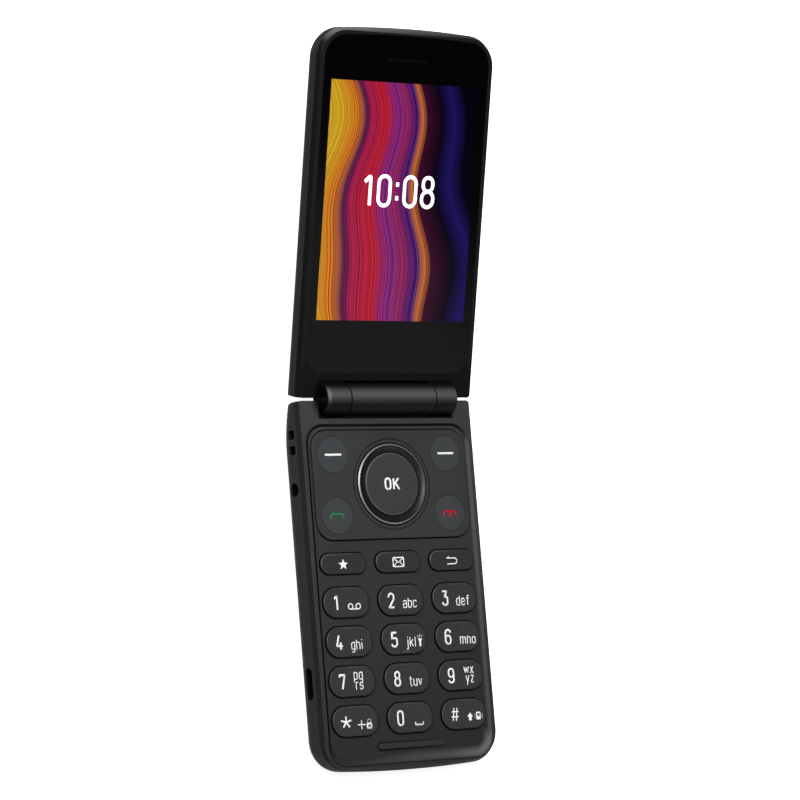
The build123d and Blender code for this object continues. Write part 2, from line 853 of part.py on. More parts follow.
# Headset jack socket behind its hole in the side wall
with BuildPart() as jack_socket:
    with BuildSketch(side_plane(-cavity_half + seat_gap)):
        with Locations((-jack_y, -jack_drop)):
            Rectangle(jack_width, jack_height)
            Circle(jack_radius, mode=Mode.SUBTRACT)
    extrude(amount=jack_bore_depth)
    with BuildSketch(side_plane(-cavity_half + seat_gap + jack_bore_depth)):
        with Locations((-jack_y, -jack_drop)):
            Rectangle(jack_width, jack_height)
    extrude(amount=jack_end_wall)
jack_socket.part.label = "jack_socket"
export_step(jack_socket.part, "parts/jack_socket.step")

# Charging socket: thin shell round a tongue
with BuildPart() as charge_socket:
    with BuildSketch(side_plane(-cavity_half + seat_gap)):
        with Locations((-port_y, -port_drop)):
            SlotOverall(port_length + 2 * port_shell_wall, port_height + 2 * port_shell_wall)
    extrude(amount=port_depth - fitting_room)
    with BuildSketch(side_plane(-cavity_half + seat_gap)):
        with Locations((-port_y, -port_drop)):
            SlotOverall(port_length, port_height)
            Rectangle(port_length - port_height, port_tongue, mode=Mode.SUBTRACT)
    extrude(amount=port_depth - fitting_room - port_shell_wall, mode=Mode.SUBTRACT)
charge_socket.part.label = "charge_socket"
export_step(charge_socket.part, "parts/charge_socket.step")

# Volume key: one rocking cap held by its flange behind the wall
with BuildPart() as volume_key:
    with BuildSketch(side_plane(half_width + volume_rise)):
        with Locations((-volume_y, -volume_drop)):
            SlotOverall(volume_length, volume_height)
    extrude(amount=-volume_rise - base_wall - volume_flange_gap - volume_flange_thickness)
    fillet(volume_key.faces().sort_by(Axis.X)[-1].edges(), volume_rounding)
    with BuildSketch(side_plane(cavity_half - volume_flange_gap)):
        with Locations((-volume_y, -volume_drop)):
            SlotOverall(volume_length + 2 * volume_flange, volume_height + 2 * volume_flange)
    extrude(amount=-volume_flange_thickness)
volume_key.part.label = "volume_key"
export_step(volume_key.part, "parts/volume_key.step")

# Parts soldered under the board
with BuildPart() as shield_can:
    with BuildSketch(base_plane(board_bottom)):
        with Locations((shield_x, -shield_y)):
            Rectangle(shield_width, shield_length)
    extrude(amount=-shield_height)
    fillet(shield_can.edges().filter_by(Axis.Z), fitting_rounding)
shield_can.part.label = "shield_can"
export_step(shield_can.part, "parts/shield_can.step")

with BuildPart() as card_holder:
    with BuildSketch(base_plane(board_bottom)):
        with Locations((card_x, -card_y)):
            Rectangle(card_width, card_length)
    extrude(amount=-card_height)
    with BuildSketch(side_plane(card_x + card_width / 2)):
        with Locations((-card_y, board_bottom - card_height / 2 - hinge_height)):
            Rectangle(card_length - 2 * card_wall, card_height - 2 * card_wall)
    extrude(amount=-card_width + card_wall, mode=Mode.SUBTRACT)
card_holder.part.label = "card_holder"
export_step(card_holder.part, "parts/card_holder.step")

with BuildPart() as vibration_motor:
    with BuildSketch(base_plane(board_bottom)):
        with Locations((motor_x, -motor_y)):
            Circle(motor_radius)
    extrude(amount=-motor_height)
    chamfer(vibration_motor.faces().sort_by(Axis.Z)[0].edges(), fitting_rounding)
vibration_motor.part.label = "vibration_motor"
export_step(vibration_motor.part, "parts/vibration_motor.step")

with BuildPart() as microphone:
    with BuildSketch(base_plane(board_bottom)):
        with Locations((microphone_x, -microphone_y)):
            Rectangle(microphone_size, microphone_size)
    extrude(amount=-microphone_height)
    fillet(microphone.edges().filter_by(Axis.Z), fitting_rounding)
microphone.part.label = "microphone"
export_step(microphone.part, "parts/microphone.step")

# Loudspeaker over the slots in the cover
with BuildPart() as loudspeaker:
    with BuildSketch(base_plane(cover_wall + seat_gap)):
        with Locations((speaker_x, -speaker_y)):
            RectangleRounded(speaker_width, speaker_length, speaker_corner)
    extrude(amount=speaker_height)
    with BuildSketch(base_plane(cover_wall + seat_gap)):
        with Locations((speaker_x, -speaker_y)):
            RectangleRounded(
                speaker_width - 2 * speaker_rim, speaker_length - 2 * speaker_rim, speaker_rim
            )
    extrude(amount=speaker_dish, mode=Mode.SUBTRACT)
loudspeaker.part.label = "loudspeaker"
export_step(loudspeaker.part, "parts/loudspeaker.step")

# Screws that hold the rear housing to the front housing
screw_seat = base_part_line + part_line_gap + screw_recess + screw_head_height
with BuildPart() as base_screws:
    with BuildSketch(base_plane(screw_seat)):
        with Locations(*base_screw_places):
            Circle(screw_radius)
    extrude(amount=screw_length)
    with BuildSketch(base_plane(screw_seat)):
        with Locations(*base_screw_places):
            Circle(screw_head_radius)
    extrude(amount=-screw_head_height)
    with BuildSketch(base_plane(screw_seat - screw_head_height)):
        with Locations(*base_screw_places):
            Rectangle(screw_cross_length, screw_cross_width)
            Rectangle(screw_cross_width, screw_cross_length)
    extrude(amount=screw_cross_depth, mode=Mode.SUBTRACT)
base_screws.part.label = "base_screws"
export_step(base_screws.part, "parts/base_screws.step")

# Hinge cartridge: sleeve with two flats, fixed in the middle knuckle
with BuildPart() as hinge_cartridge:
    with BuildSketch(side_plane(-knuckle_seam + knuckle_seam_gap / 2)):
        Circle(cartridge_radius)
        Rectangle(2 * cartridge_radius, 2 * cartridge_flat, mode=Mode.INTERSECT)
        Circle(shaft_radius + shaft_clearance, mode=Mode.SUBTRACT)
    extrude(amount=knuckle_seam - knuckle_seam_gap / 2 + cartridge_end)
hinge_cartridge.part.label = "hinge_cartridge"
export_step(hinge_cartridge.part, "parts/hinge_cartridge.step")


# Lid front frame with the two end knuckles
with BuildPart() as lid_front_frame:
    add(lid_body(0, -lid_part_line + part_line_gap))
    # Room for the middle knuckle, and the end knuckles themselves
    with BuildSketch(lid_edge_plane(-knuckle_seam - knuckle_seam_gap / 2)):
        Circle(knuckle_radius + knuckle_clearance)
    extrude(amount=2 * knuckle_seam + knuckle_seam_gap, mode=Mode.SUBTRACT)
    with BuildSketch(lid_plane(0)):
        start = knuckle_seam + knuckle_seam_gap / 2
        add(knuckle_profile(start, knuckle_end, knuckle_radius, knuckle_end_rounding))
        mirror(about=Plane.YZ)
    revolve(axis=hinge_axis)
    for side in (-1, 1):
        with BuildSketch(lid_edge_plane(side * knuckle_seam)):
            Circle(hinge_bore_radius)
        extrude(amount=side * hinge_head_depth, mode=Mode.SUBTRACT)
    # Seat for the display window
    with BuildSketch(lid_plane(lens_seat)):
        near = lens_bottom - lens_gap
        add(half_outline(1, near, lens_inset - lens_gap, lens_corner + lens_gap))
    extrude(amount=lid_depth, mode=Mode.SUBTRACT)
    # Pocket for the display and the earpiece above it
    with BuildSketch(lid_plane(display_back - seat_gap)):
        with Locations((0, display_y)):
            Rectangle(display_width + 2 * display_gap, display_length + 2 * display_gap)
        with Locations((0, earpiece_y)):
            Rectangle(speaker_box_width + 2 * display_gap, speaker_box_length + 2 * display_gap)
    extrude(amount=lid_depth, mode=Mode.SUBTRACT)
    # Room for the board behind the midplate
    with BuildSketch(lid_plane(midplate_back)):
        add(half_outline(1, lid_room_bottom, lid_wall, lid_wall))
    extrude(amount=-lid_depth, mode=Mode.SUBTRACT)
    with BuildSketch(lid_plane(midplate_back)):
        with Locations(*lid_screw_places):
            Circle(screw_radius + screw_clearance)
    extrude(amount=midplate_thickness / 2, mode=Mode.SUBTRACT)
lid_front_frame.part.label = "lid_front_frame"
export_step(lid_front_frame.part, "parts/lid_front_frame.step")

# Lid rear cover with the seat for the outer window
outer_lens_level = -lid_depth
outer_seat = outer_lens_level + outer_lens_thickness + seat_gap
with BuildPart() as lid_rear_cover:
    add(lid_body(-lid_part_line, -lid_depth))
    with BuildSketch(lid_plane(-lid_depth + lid_cover_wall)):
        add(half_outline(1, lid_room_bottom, lid_cover_rim + lid_wall, lid_wall))
    extrude(amount=lid_depth, mode=Mode.SUBTRACT)
    with BuildSketch(lid_plane(-lid_depth)):
        with Locations((0, outer_lens_y)):
            RectangleRounded(
                outer_lens_width + 2 * outer_lens_gap,
                outer_lens_length + 2 * outer_lens_gap,
                outer_lens_corner + outer_lens_gap,
            )
    extrude(amount=outer_lens_thickness + seat_gap, mode=Mode.SUBTRACT)
    with BuildSketch(lid_plane(-lid_depth)):
        with Locations((0, outer_display_y)):
            Rectangle(outer_display_size + 2 * display_gap, outer_display_size + 2 * display_gap)
        with Locations((0, camera_y)):
            Rectangle(camera_size + 2 * display_gap, camera_size + 2 * display_gap)
        with Locations((flash_x, camera_y)):
            Circle(flash_radius + display_gap)
    extrude(amount=lid_depth / 2, mode=Mode.SUBTRACT)
lid_rear_cover.part.label = "lid_rear_cover"
export_step(lid_rear_cover.part, "parts/lid_rear_cover.step")

# Display window
with BuildPart() as display_lens:
    with BuildSketch(lid_plane(lens_seat + seat_gap)):
        add(half_outline(1, lens_bottom, lens_inset, lens_corner))
        with Locations((0, earpiece_y)):
            SlotOverall(earpiece_length, earpiece_width, mode=Mode.SUBTRACT)
    extrude(amount=lens_thickness - seat_gap)
display_lens.part.label = "display_lens"
export_step(display_lens.part, "parts/display_lens.step")

# Fine mesh in the earpiece slot
with BuildPart() as earpiece_mesh:
    with BuildSketch(lid_plane(lens_level - mesh_drop)):
        with Locations((0, earpiece_y)):
            SlotOverall(earpiece_length - 2 * seat_gap, earpiece_width - 2 * seat_gap)
    extrude(amount=-mesh_thickness)
earpiece_mesh.part.label = "earpiece_mesh"
export_step(earpiece_mesh.part, "parts/earpiece_mesh.step")

# Display module behind the window
with BuildPart() as display_module:
    with BuildSketch(lid_plane(display_back)):
        with Locations((0, display_y)):
            Rectangle(display_width, display_length)
    extrude(amount=display_thickness)
display_module.part.label = "display_module"
export_step(display_module.part, "parts/display_module.step")

# Earpiece speaker
with BuildPart() as earpiece_speaker:
    with BuildSketch(lid_plane(display_back)):
        with Locations((0, earpiece_y)):
            Rectangle(speaker_box_width, speaker_box_length)
    extrude(amount=display_thickness)
    fillet(earpiece_speaker.edges().filter_by(lid_axis), fitting_rounding)
earpiece_speaker.part.label = "earpiece_speaker"
export_step(earpiece_speaker.part, "parts/earpiece_speaker.step")

# Lid board, screwed to the midplate, and its screws
with BuildPart() as lid_board:
    with BuildSketch(lid_plane(lid_board_back)):
        with Locations((0, lid_board_y)):
            Rectangle(lid_board_width, lid_board_length)
        with Locations(*lid_screw_places):
            Circle(screw_radius + screw_clearance, mode=Mode.SUBTRACT)
    extrude(amount=lid_board_thickness)
lid_board.part.label = "lid_board"
export_step(lid_board.part, "parts/lid_board.step")

with BuildPart() as lid_screws:
    with BuildSketch(lid_plane(lid_board_back)):
        with Locations(*lid_screw_places):
            Circle(screw_radius)
    extrude(amount=lid_board_thickness + seat_gap + midplate_thickness / 3)
    with BuildSketch(lid_plane(lid_board_back)):
        with Locations(*lid_screw_places):
            Circle(screw_head_radius)
    extrude(amount=-screw_head_height)
lid_screws.part.label = "lid_screws"
export_step(lid_screws.part, "parts/lid_screws.step")

# Outer window, display, camera and flash
with BuildPart() as outer_lens:
    with BuildSketch(lid_plane(outer_lens_level)):
        with Locations((0, outer_lens_y)):
            RectangleRounded(outer_lens_width, outer_lens_length, outer_lens_corner)
        with Locations((0, camera_y)):
            Circle(camera_window_radius + camera_ring_wall, mode=Mode.SUBTRACT)
        with Locations((flash_x, camera_y)):
            Circle(flash_radius, mode=Mode.SUBTRACT)
    extrude(amount=outer_lens_thickness)
outer_lens.part.label = "outer_lens"
export_step(outer_lens.part, "parts/outer_lens.step")

with BuildPart() as outer_display:
    with BuildSketch(lid_plane(outer_seat)):
        with Locations((0, outer_display_y)):
            Rectangle(outer_display_size, outer_display_size)
    extrude(amount=lid_board_back - seat_gap - outer_seat)
outer_display.part.label = "outer_display"
export_step(outer_display.part, "parts/outer_display.step")

with BuildPart() as camera_module:
    with BuildSketch(lid_plane(outer_seat)):
        with Locations((0, camera_y)):
            Rectangle(camera_size, camera_size)
    extrude(amount=lid_board_back - seat_gap - outer_seat)
camera_module.part.label = "camera_module"
export_step(camera_module.part, "parts/camera_module.step")

with BuildPart() as camera_ring:
    with BuildSketch(lid_plane(outer_lens_level)):
        with Locations((0, camera_y)):
            Circle(camera_window_radius + camera_ring_wall - seat_gap)
            Circle(camera_window_radius, mode=Mode.SUBTRACT)
    extrude(amount=outer_lens_thickness)
camera_ring.part.label = "camera_ring"
export_step(camera_ring.part, "parts/camera_ring.step")

with BuildPart() as camera_glass:
    with BuildSketch(lid_plane(outer_lens_level + seat_gap)):
        with Locations((0, camera_y)):
            Circle(camera_window_radius - seat_gap)
    extrude(amount=camera_glass_thickness)
camera_glass.part.label = "camera_glass"
export_step(camera_glass.part, "parts/camera_glass.step")

with BuildPart() as flash_lens:
    with BuildSketch(lid_plane(outer_lens_level)):
        with Locations((flash_x, camera_y)):
            Circle(flash_radius - seat_gap)
    extrude(amount=lid_board_back - seat_gap - outer_lens_level)
flash_lens.part.label = "flash_lens"
export_step(flash_lens.part, "parts/flash_lens.step")

# Magnet that tells the base when the lid is shut
with BuildPart() as closing_magnet:
    with BuildSketch(lid_plane(midplate_back - seat_gap)):
        with Locations((magnet_x, magnet_y)):
            Rectangle(magnet_width, magnet_length)
    extrude(amount=-magnet_height)
closing_magnet.part.label = "closing_magnet"
export_step(closing_magnet.part, "parts/closing_magnet.step")

# Hinge shaft, turning with the lid in the cartridge, its head fast in the left knuckle
with BuildPart() as hinge_shaft:
    with BuildSketch(lid_edge_plane(-knuckle_seam - hinge_head_depth + seat_gap)):
        Circle(hinge_head_radius)
    extrude(amount=hinge_head_depth - seat_gap - knuckle_seam_gap)
    with BuildSketch(lid_edge_plane(-knuckle_seam - knuckle_seam_gap)):
        Circle(shaft_radius)
    extrude(amount=knuckle_seam + knuckle_seam_gap - shaft_reach)
hinge_shaft.part.label = "hinge_shaft"
export_step(hinge_shaft.part, "parts/hinge_shaft.step")

# Hollow sleeve in the right knuckle, running in the middle one, for the lid's wiring
with BuildPart() as hinge_sleeve:
    with BuildSketch(lid_edge_plane(sleeve_reach)):
        Circle(sleeve_radius)
        Circle(sleeve_radius - sleeve_wall, mode=Mode.SUBTRACT)
    extrude(amount=knuckle_seam + hinge_head_depth - seat_gap - sleeve_reach)
hinge_sleeve.part.label = "hinge_sleeve"
export_step(hinge_sleeve.part, "parts/hinge_sleeve.step")
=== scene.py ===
"""Looks of an open flip phone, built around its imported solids."""

import logging
import math
from collections.abc import Callable
from dataclasses import dataclass, field
from enum import Enum

import bmesh
import bpy
from bmesh.types import BMesh, BMVert
from bpy.types import ID, Material, Mesh, Node, NodeSocket, NodeTree, Object
from mathutils import Matrix, Vector


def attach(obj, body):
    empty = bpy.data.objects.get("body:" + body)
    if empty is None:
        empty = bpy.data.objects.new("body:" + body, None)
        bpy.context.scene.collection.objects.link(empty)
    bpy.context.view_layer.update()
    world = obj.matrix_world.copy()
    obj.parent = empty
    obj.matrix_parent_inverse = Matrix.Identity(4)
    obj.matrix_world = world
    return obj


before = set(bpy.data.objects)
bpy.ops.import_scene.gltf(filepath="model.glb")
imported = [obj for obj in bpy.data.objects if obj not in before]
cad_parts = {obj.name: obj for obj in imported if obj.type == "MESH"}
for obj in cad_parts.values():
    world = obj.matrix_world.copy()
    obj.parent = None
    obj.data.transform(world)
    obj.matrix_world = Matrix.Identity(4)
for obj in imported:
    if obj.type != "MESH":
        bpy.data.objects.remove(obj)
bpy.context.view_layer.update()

LOG = logging.getLogger("flip_phone")
MM = 0.001
NAVIGATION_Y = -21.85
PRINT_RISE = 0.012
OVERLAP_STEP = 0.0012
BLACK, WHITE = (0.0, 0.0, 0.0), (1.0, 1.0, 1.0)
Point = tuple[float, float]
Place = tuple[float, float, float]
Colour = tuple[float, float, float]
Line = tuple[float, float]  # slope and start of a straight line
Rise = tuple[float, float]  # where a mask rises and how softly
Band = tuple[float, float, float]  # where a mask begins and ends, and how softly


class Half(Enum):
    """The two halves of the phone, by how far each is turned up about the hinge, in degrees."""

    BASE = 0.0
    LID = 15.0


@dataclass(frozen=True)
class Hinge:
    """Place of the hinge axis, from which both halves are measured, in millimetres."""

    along: float = 47.225
    height: float = 10.0

    def matrix(self, half: Half) -> Matrix:
        """Transform from a half's own millimetres to the row frame in metres.

        Args:
            half: the half, whose axes are X across, Y away from the hinge, Z out of its face.

        Returns:
            The four by four matrix of that transform.
        """
        place = Matrix.Translation((0, self.along * MM, self.height * MM))
        return place @ Matrix.Rotation(math.radians(half.value), 4, "X") @ Matrix.Scale(MM, 4)


HINGE = Hinge()


def operation(name: str, turned: bool = False) -> Callable[..., "Value"]:
    """Makes a method of Value that adds a Math node.

    Args:
        name: the node's operation.
        turned: whether the value itself comes last.

    Returns:
        The method, which takes the operation's other inputs.
    """

    def method(self: "Value", *others: object) -> "Value":
        """Adds the Math node."""
        return self.graph.math(name, *((*others, self) if turned else (self, *others)))

    return method


class Value:
    """What a socket of a tree puts out; arithmetic with it adds Math nodes."""

    __add__ = operation("ADD")
    __sub__ = operation("SUBTRACT")
    __rsub__ = operation("SUBTRACT", turned=True)
    __mul__ = operation("MULTIPLY")
    __truediv__ = operation("DIVIDE")
    __rtruediv__ = operation("DIVIDE", turned=True)
    __lt__ = operation("LESS_THAN")
    __gt__ = operation("GREATER_THAN")
    __abs__ = operation("ABSOLUTE")
    least = operation("MINIMUM")
    most = operation("MAXIMUM")
    scaled = operation("MULTIPLY_ADD")
    power = operation("POWER")
    root = operation("SQRT")
    sine = operation("SINE")
    cosine = operation("COSINE")

    def __init__(self, graph: "Graph", socket: NodeSocket) -> None:
        """Stands for a socket's output."""
        self.graph, self.socket = graph, socket

    def clamped(self) -> "Value":
        """Holds the result of the last operation between 0 and 1."""
        self.socket.node.use_clamp = True
        return self

    def hypot(self, other: "Value") -> "Value":
        """Distance that two numbers at right angles make."""
        return self.scaled(self, other * other).root()

    def rise(self, start: float, soft: float) -> "Value":
        """Rises from 0 to 1 as the number passes a start."""
        return (self - start).scaled(1 / soft, 0.5).clamped()

    def band(self, start: float, end: float, soft: float) -> "Value":
        """Is 1 while the number lies between two limits, with soft edges."""
        room = (self - start).least(end - self)
        return room.scaled(1 / soft, 0.5).clamped()

    def between(self, low: float, high: float) -> "Value":
        """Carries a share of 0 to 1 over to a number between two limits."""
        return self.scaled(high - low, low)


class Graph:
    """Adds nodes to a tree and joins them."""

    def __init__(self, tree: NodeTree) -> None:
        """Works on the given tree."""
        self.tree = tree

    def feed(self, socket: NodeSocket, value: object) -> None:
        """Sets an input, or links what makes its value to it.

        Args:
            socket: the input.
            value: a plain value or a Value; a colour may leave out its alpha.
        """
        if isinstance(value, Value):
            self.tree.links.new(value.socket, socket)
        else:
            socket.default_value = (*value, 1.0) if socket.type == "RGBA" else value

    def fill(self, node: Node, **inputs: object) -> None:
        """Feeds a node's inputs, by name with underscores for spaces."""
        for name, value in inputs.items():
            self.feed(node.inputs[name.replace("_", " ")], value)

    def add(self, kind: str, settings: dict | None = None, **inputs: object) -> Node:
        """Adds one node.

        Args:
            kind: the node's type name.
            settings: properties to set on the node.
            inputs: what its inputs are fed.

        Returns:
            The new node.
        """
        node = self.tree.nodes.new(kind)
        for name, value in (settings or {}).items():
            setattr(node, name, value)
        self.fill(node, **inputs)
        return node

    def take(self, kind: str, settings: dict | None = None, **inputs: object) -> Value:
        """Adds one node and gives its first output."""
        return Value(self, self.add(kind, settings, **inputs).outputs[0])

    def outputs(self, node: Node) -> dict[str, Value]:
        """A node's outputs by name."""
        return {socket.name: Value(self, socket) for socket in node.outputs}

    def use(self, group: NodeTree, **inputs: object) -> dict[str, Value]:
        """Places a group with its own values and gives its outputs by name."""
        return self.outputs(self.add("ShaderNodeGroup", {"node_tree": group}, **inputs))

    def math(self, name: str, *values: object) -> Value:
        """Adds a Math node.

        Args:
            name: its operation.
            values: its inputs in order.

        Returns:
            Its result.
        """
        node = self.add("ShaderNodeMath", {"operation": name})
        for socket, value in zip(node.inputs, values):
            self.feed(socket, value)
        return Value(self, node.outputs[0])

    def blend(self, share: Value, first: object, second: object) -> Value:
        """Mixes two colours.

        Args:
            share: how much of the second colour shows, from 0 to 1.
            first: the colour at 0.
            second: the colour at 1.

        Returns:
            The mixed colour.
        """
        node = self.add("ShaderNodeMix", {"data_type": "RGBA", "clamp_factor": True})
        for index, value in ((0, share), (6, first), (7, second)):
            self.feed(node.inputs[index], value)
        return Value(self, node.outputs[2])

    def axes(self, vector: Value) -> list[Value]:
        """Parts a vector into its three numbers."""
        parts = self.add("ShaderNodeSeparateXYZ", Vector=vector)
        return [Value(self, socket) for socket in parts.outputs]

    def coordinates(self) -> Value:
        """The piece's own coordinates in metres."""
        return self.outputs(self.add("ShaderNodeTexCoord"))["Object"]

    def out(self, **values: Value) -> NodeTree:
        """Ends a group with its outputs and gives its tree."""
        self.add("NodeGroupOutput", **values)
        return self.tree


def begin(
    name: str, inputs: dict[str, float | str], outputs: list[str], kind: str = "Shader"
) -> tuple[Graph, dict[str, Value]]:
    """Starts a node group.

    Args:
        name: its name.
        inputs: its inputs, each with its default number or else its kind.
        outputs: its outputs, which are numbers in a shader group and else geometry.
        kind: the kind of tree.

    Returns:
        Its graph and what its inputs give, by name.
    """
    tree = bpy.data.node_groups.new(name, f"{kind}NodeTree")
    for label, value in inputs.items():
        plain = not isinstance(value, str)
        type_name = f"NodeSocket{'Float' if plain else value}"
        socket = tree.interface.new_socket(label, in_out="INPUT", socket_type=type_name)
        if plain:
            socket.default_value = value
    type_name = "NodeSocketFloat" if kind == "Shader" else "NodeSocketGeometry"
    for label in outputs:
        tree.interface.new_socket(label, in_out="OUTPUT", socket_type=type_name)
    graph = Graph(tree)
    return graph, graph.outputs(graph.add("NodeGroupInput"))


class Effects:
    """Shader effects that several finishes share, each built once as a node group."""

    def __init__(self) -> None:
        """Builds the groups."""
        self.grain, self.handling = self._grain(), self._handling()
        self.disc, self.outline, self.barrel = self._disc(), self._outline(), self._barrel()

    @staticmethod
    def _grain() -> NodeTree:
        """Fine moulded grain: a height to bump with and a soft change of tone."""
        sizes = {"Grain Size": 0.2, "Patch Size": 14.0}
        graph, given = begin("moulded_grain", sizes, ["Height", "Tone"])
        place, noises = graph.coordinates(), []
        for size, detail in (("Grain Size", 2.0), ("Patch Size", 1.0)):
            waves = {"Scale": (1.0 / MM) / given[size], "Detail": detail}
            noises.append(graph.take("ShaderNodeTexNoise", Vector=place, **waves))
        return graph.out(Height=noises[0], Tone=noises[1])

    @staticmethod
    def _handling() -> NodeTree:
        """Faint smears and specks that handling leaves, as a change of roughness."""
        graph, given = begin("handling_marks", {"Smear": 0.04, "Speck": 0.03}, ["Roughness"])
        place = graph.coordinates()
        waves = {"Scale": 60.0, "Detail": 3.0, "Distortion": 1.2}
        smear = graph.take("ShaderNodeTexNoise", Vector=place, **waves)
        speck = graph.take("ShaderNodeTexVoronoi", Vector=place, Scale=900.0) < 0.08
        return graph.out(Roughness=speck.scaled(given["Speck"], smear * given["Smear"]))

    @staticmethod
    def _disc() -> NodeTree:
        """Mask of a round band about a point, from an inner to an outer radius in millimetres."""
        sizes = {"Across": 0.0, "Along": 0.0, "Inner": 0.0, "Outer": 1.0, "Soft": 0.05}
        graph, given = begin("round_band", {"Vector": "Vector", **sizes}, ["Mask", "Distance"])
        x, y, _ = graph.axes(given["Vector"])
        distance = (x - given["Across"]).hypot(y - given["Along"])
        room = (distance - given["Inner"]).least(given["Outer"] - distance)
        return graph.out(Mask=(room / given["Soft"] + 0.5).clamped(), Distance=distance)

    @staticmethod
    def _outline() -> NodeTree:
        """How far a place lies inside a rounded outline on a half, in millimetres."""
        sizes = {"Middle": 47.225, "Half Width": 27.0, "Half Length": 47.225, "Corner": 8.0}
        given_kinds = {"Vector": "Vector", **sizes, "Near End": 0.0}
        graph, given = begin("outline_distance", given_kinds, ["Inside"])
        x, y, _ = graph.axes(given["Vector"])
        along = abs(y) - given["Middle"]
        along = along.most(along * given["Near End"] * -1.0)
        past_x = abs(x) - (given["Half Width"] - given["Corner"])
        past_y = along - (given["Half Length"] - given["Corner"])
        corner = past_x.most(0.0).hypot(past_y.most(0.0))
        reach = corner + past_x.most(past_y).least(0.0)
        return graph.out(Inside=given["Corner"] - reach)

    @staticmethod
    def _barrel() -> NodeTree:
        """Masks of the hinge barrel: painted highlights along its crest, low on it and at its left
        end, painted shade in its pocket and beside its left end, and its seams.
        """
        sizes = {"Radius": 4.35, "Half Length": 19.9, "Seam": 13.0, "Tilt": 10.0, "Peak": 13.0}
        masks = ["Barrel", "Crest", "Low Light", "Pocket", "Scoop", "Seam", "End"]
        graph, given = begin("barrel_masks", {"Vector": "Vector", **sizes}, masks)
        low_tilt, low_peak = -47.0, 28.0
        pocket_height, pocket_width = 0.6, 0.8
        scoop_width, scoop_length, scoop_soft = 3.4, 5.0, 0.55
        x, along, up = graph.axes(given["Vector"])
        across, reach = abs(x), along.hypot(up)
        lobes = []
        for lean, peak in ((given["Tilt"], given["Peak"]), (low_tilt, low_peak)):
            turn = graph.math("RADIANS", lean)
            facing = turn.sine().scaled(along, turn.cosine() * up)
            lobes.append((facing / reach).clamped().power(peak))
        barrel = (reach < given["Radius"]) * (across < given["Half Length"])
        beside = across < given["Half Length"] + pocket_width
        pocket = (reach < given["Radius"] + pocket_height) * beside
        left = x + given["Half Length"]
        spread = left.scaled(-1 / scoop_width, 0.28).hypot(along * (1 / scoop_length))
        # The crest, low-light and end masks are painted highlights; the pocket and scoop masks are
        # painted shade.
        return graph.out(
            Barrel=barrel,
            Crest=lobes[0],
            Low_Light=lobes[1],
            Pocket=(pocket - barrel).clamped(),
            Scoop=spread.scaled(-1 / scoop_soft, 2.1).clamped() * (left < 0.0),
            Seam=abs(across - given["Seam"]).band(-1.0, 0.17, 0.06),
            End=left.band(0.1, 0.75, 0.3),
        )


EFFECTS = Effects()


@dataclass(frozen=True)
class Outline:
    """Rounded outline on a half, in millimetres, its middle counted towards the far end."""

    middle: float
    half_width: float
    half_length: float
    corner: float

    def inside(self, graph: Graph, place: Value) -> Value:
        """How far a place lies inside the outline."""
        size = {"Half_Width": self.half_width, "Half_Length": self.half_length}
        form = {"Middle": self.middle, **size, "Corner": self.corner, "Near_End": 1.0}
        return graph.use(EFFECTS.outline, Vector=place, **form)["Inside"]


@dataclass(frozen=True)
class KeyGrid(Outline):
    """Outline of a key that comes again in columns and rows, and where its rows lie."""

    row_pitch: float
    rows: Point
    column_pitch: float = 16.65

    def cell(self, graph: Graph, place: Value) -> Value:
        """Coordinates that start again at every key.

        Args:
            graph: the material's graph.
            place: coordinates in the half's own millimetres.

        Returns:
            The coordinates, as those of the grid's first key.
        """
        side, bottom = self.column_pitch / 2, -self.middle - self.row_pitch / 2
        wrap = graph.add("ShaderNodeVectorMath", {"operation": "WRAP"})
        limits = (place, (-side, bottom, -10.0), (side, bottom + self.row_pitch, 10.0))
        for socket, value in zip(wrap.inputs, limits):
            graph.feed(socket, value)
        return Value(graph, wrap.outputs[0])


NUMBER_GRID = KeyGrid(51.6, 6.9, 3.85, 3.75, 9.95, (-86.43, -46.62))
FUNCTION_GRID = KeyGrid(41.8, 6.9, 2.65, 2.55, 7.0, (-45.5, -38.5))


class Surface:
    """Material under way, with its surface shader and the colour laid so far."""

    def __init__(self, name: str, colour: Colour, roughness: float, specular: float) -> None:
        """Begins a material of one plain colour."""
        self.material = bpy.data.materials.new(name)
        self.material.use_nodes = True
        self.graph = Graph(self.material.node_tree)
        self.colour: Value | Colour = colour
        self.places: dict[Half, tuple[Value, ...]] = {}
        self.set(Roughness=roughness, Specular_IOR_Level=specular)

    def set(self, **inputs: object) -> None:
        """Feeds the surface shader's inputs, by name with underscores for spaces."""
        self.graph.fill(self.material.node_tree.nodes["Principled BSDF"], **inputs)

    def lay(self, mask: Value, colour: Value | Colour) -> None:
        """Lays a colour over what is there, where a mask says."""
        self.colour = self.graph.blend(mask, self.colour, colour)

    def local(self, half: Half) -> tuple[Value, ...]:
        """Coordinates on the piece in a half's own millimetres.

        Args:
            half: the half that the piece belongs to.

        Returns:
            The vector, then its parts: across, away from the hinge and out of the face.
        """
        if half not in self.places:
            turn = self.graph.take(
                "ShaderNodeMapping",
                {"vector_type": "TEXTURE"},
                Vector=self.graph.coordinates(),
                Location=(0, HINGE.along * MM, HINGE.height * MM),
                Rotation=(math.radians(half.value), 0, 0),
                Scale=(MM, MM, MM),
            )
            self.places[half] = (turn, *self.graph.axes(turn))
        return self.places[half]

    def bump(self, height: Value, depth: float) -> None:
        """Bumps the surface by a height, to a depth in millimetres."""
        node = self.graph.take("ShaderNodeBump", Height=height, Strength=1.0, Distance=depth * MM)
        self.set(Normal=node)

    def handle(self, roughness: float, smear: float, speck: float) -> None:
        """Lays handling marks about a mean roughness."""
        marks = self.graph.use(EFFECTS.handling, Smear=smear, Speck=speck)
        self.set(Roughness=marks["Roughness"] + (roughness - smear / 2))

    def done(self) -> Material:
        """Ends the material with the colour laid last."""
        self.set(Base_Color=self.colour)
        return self.material


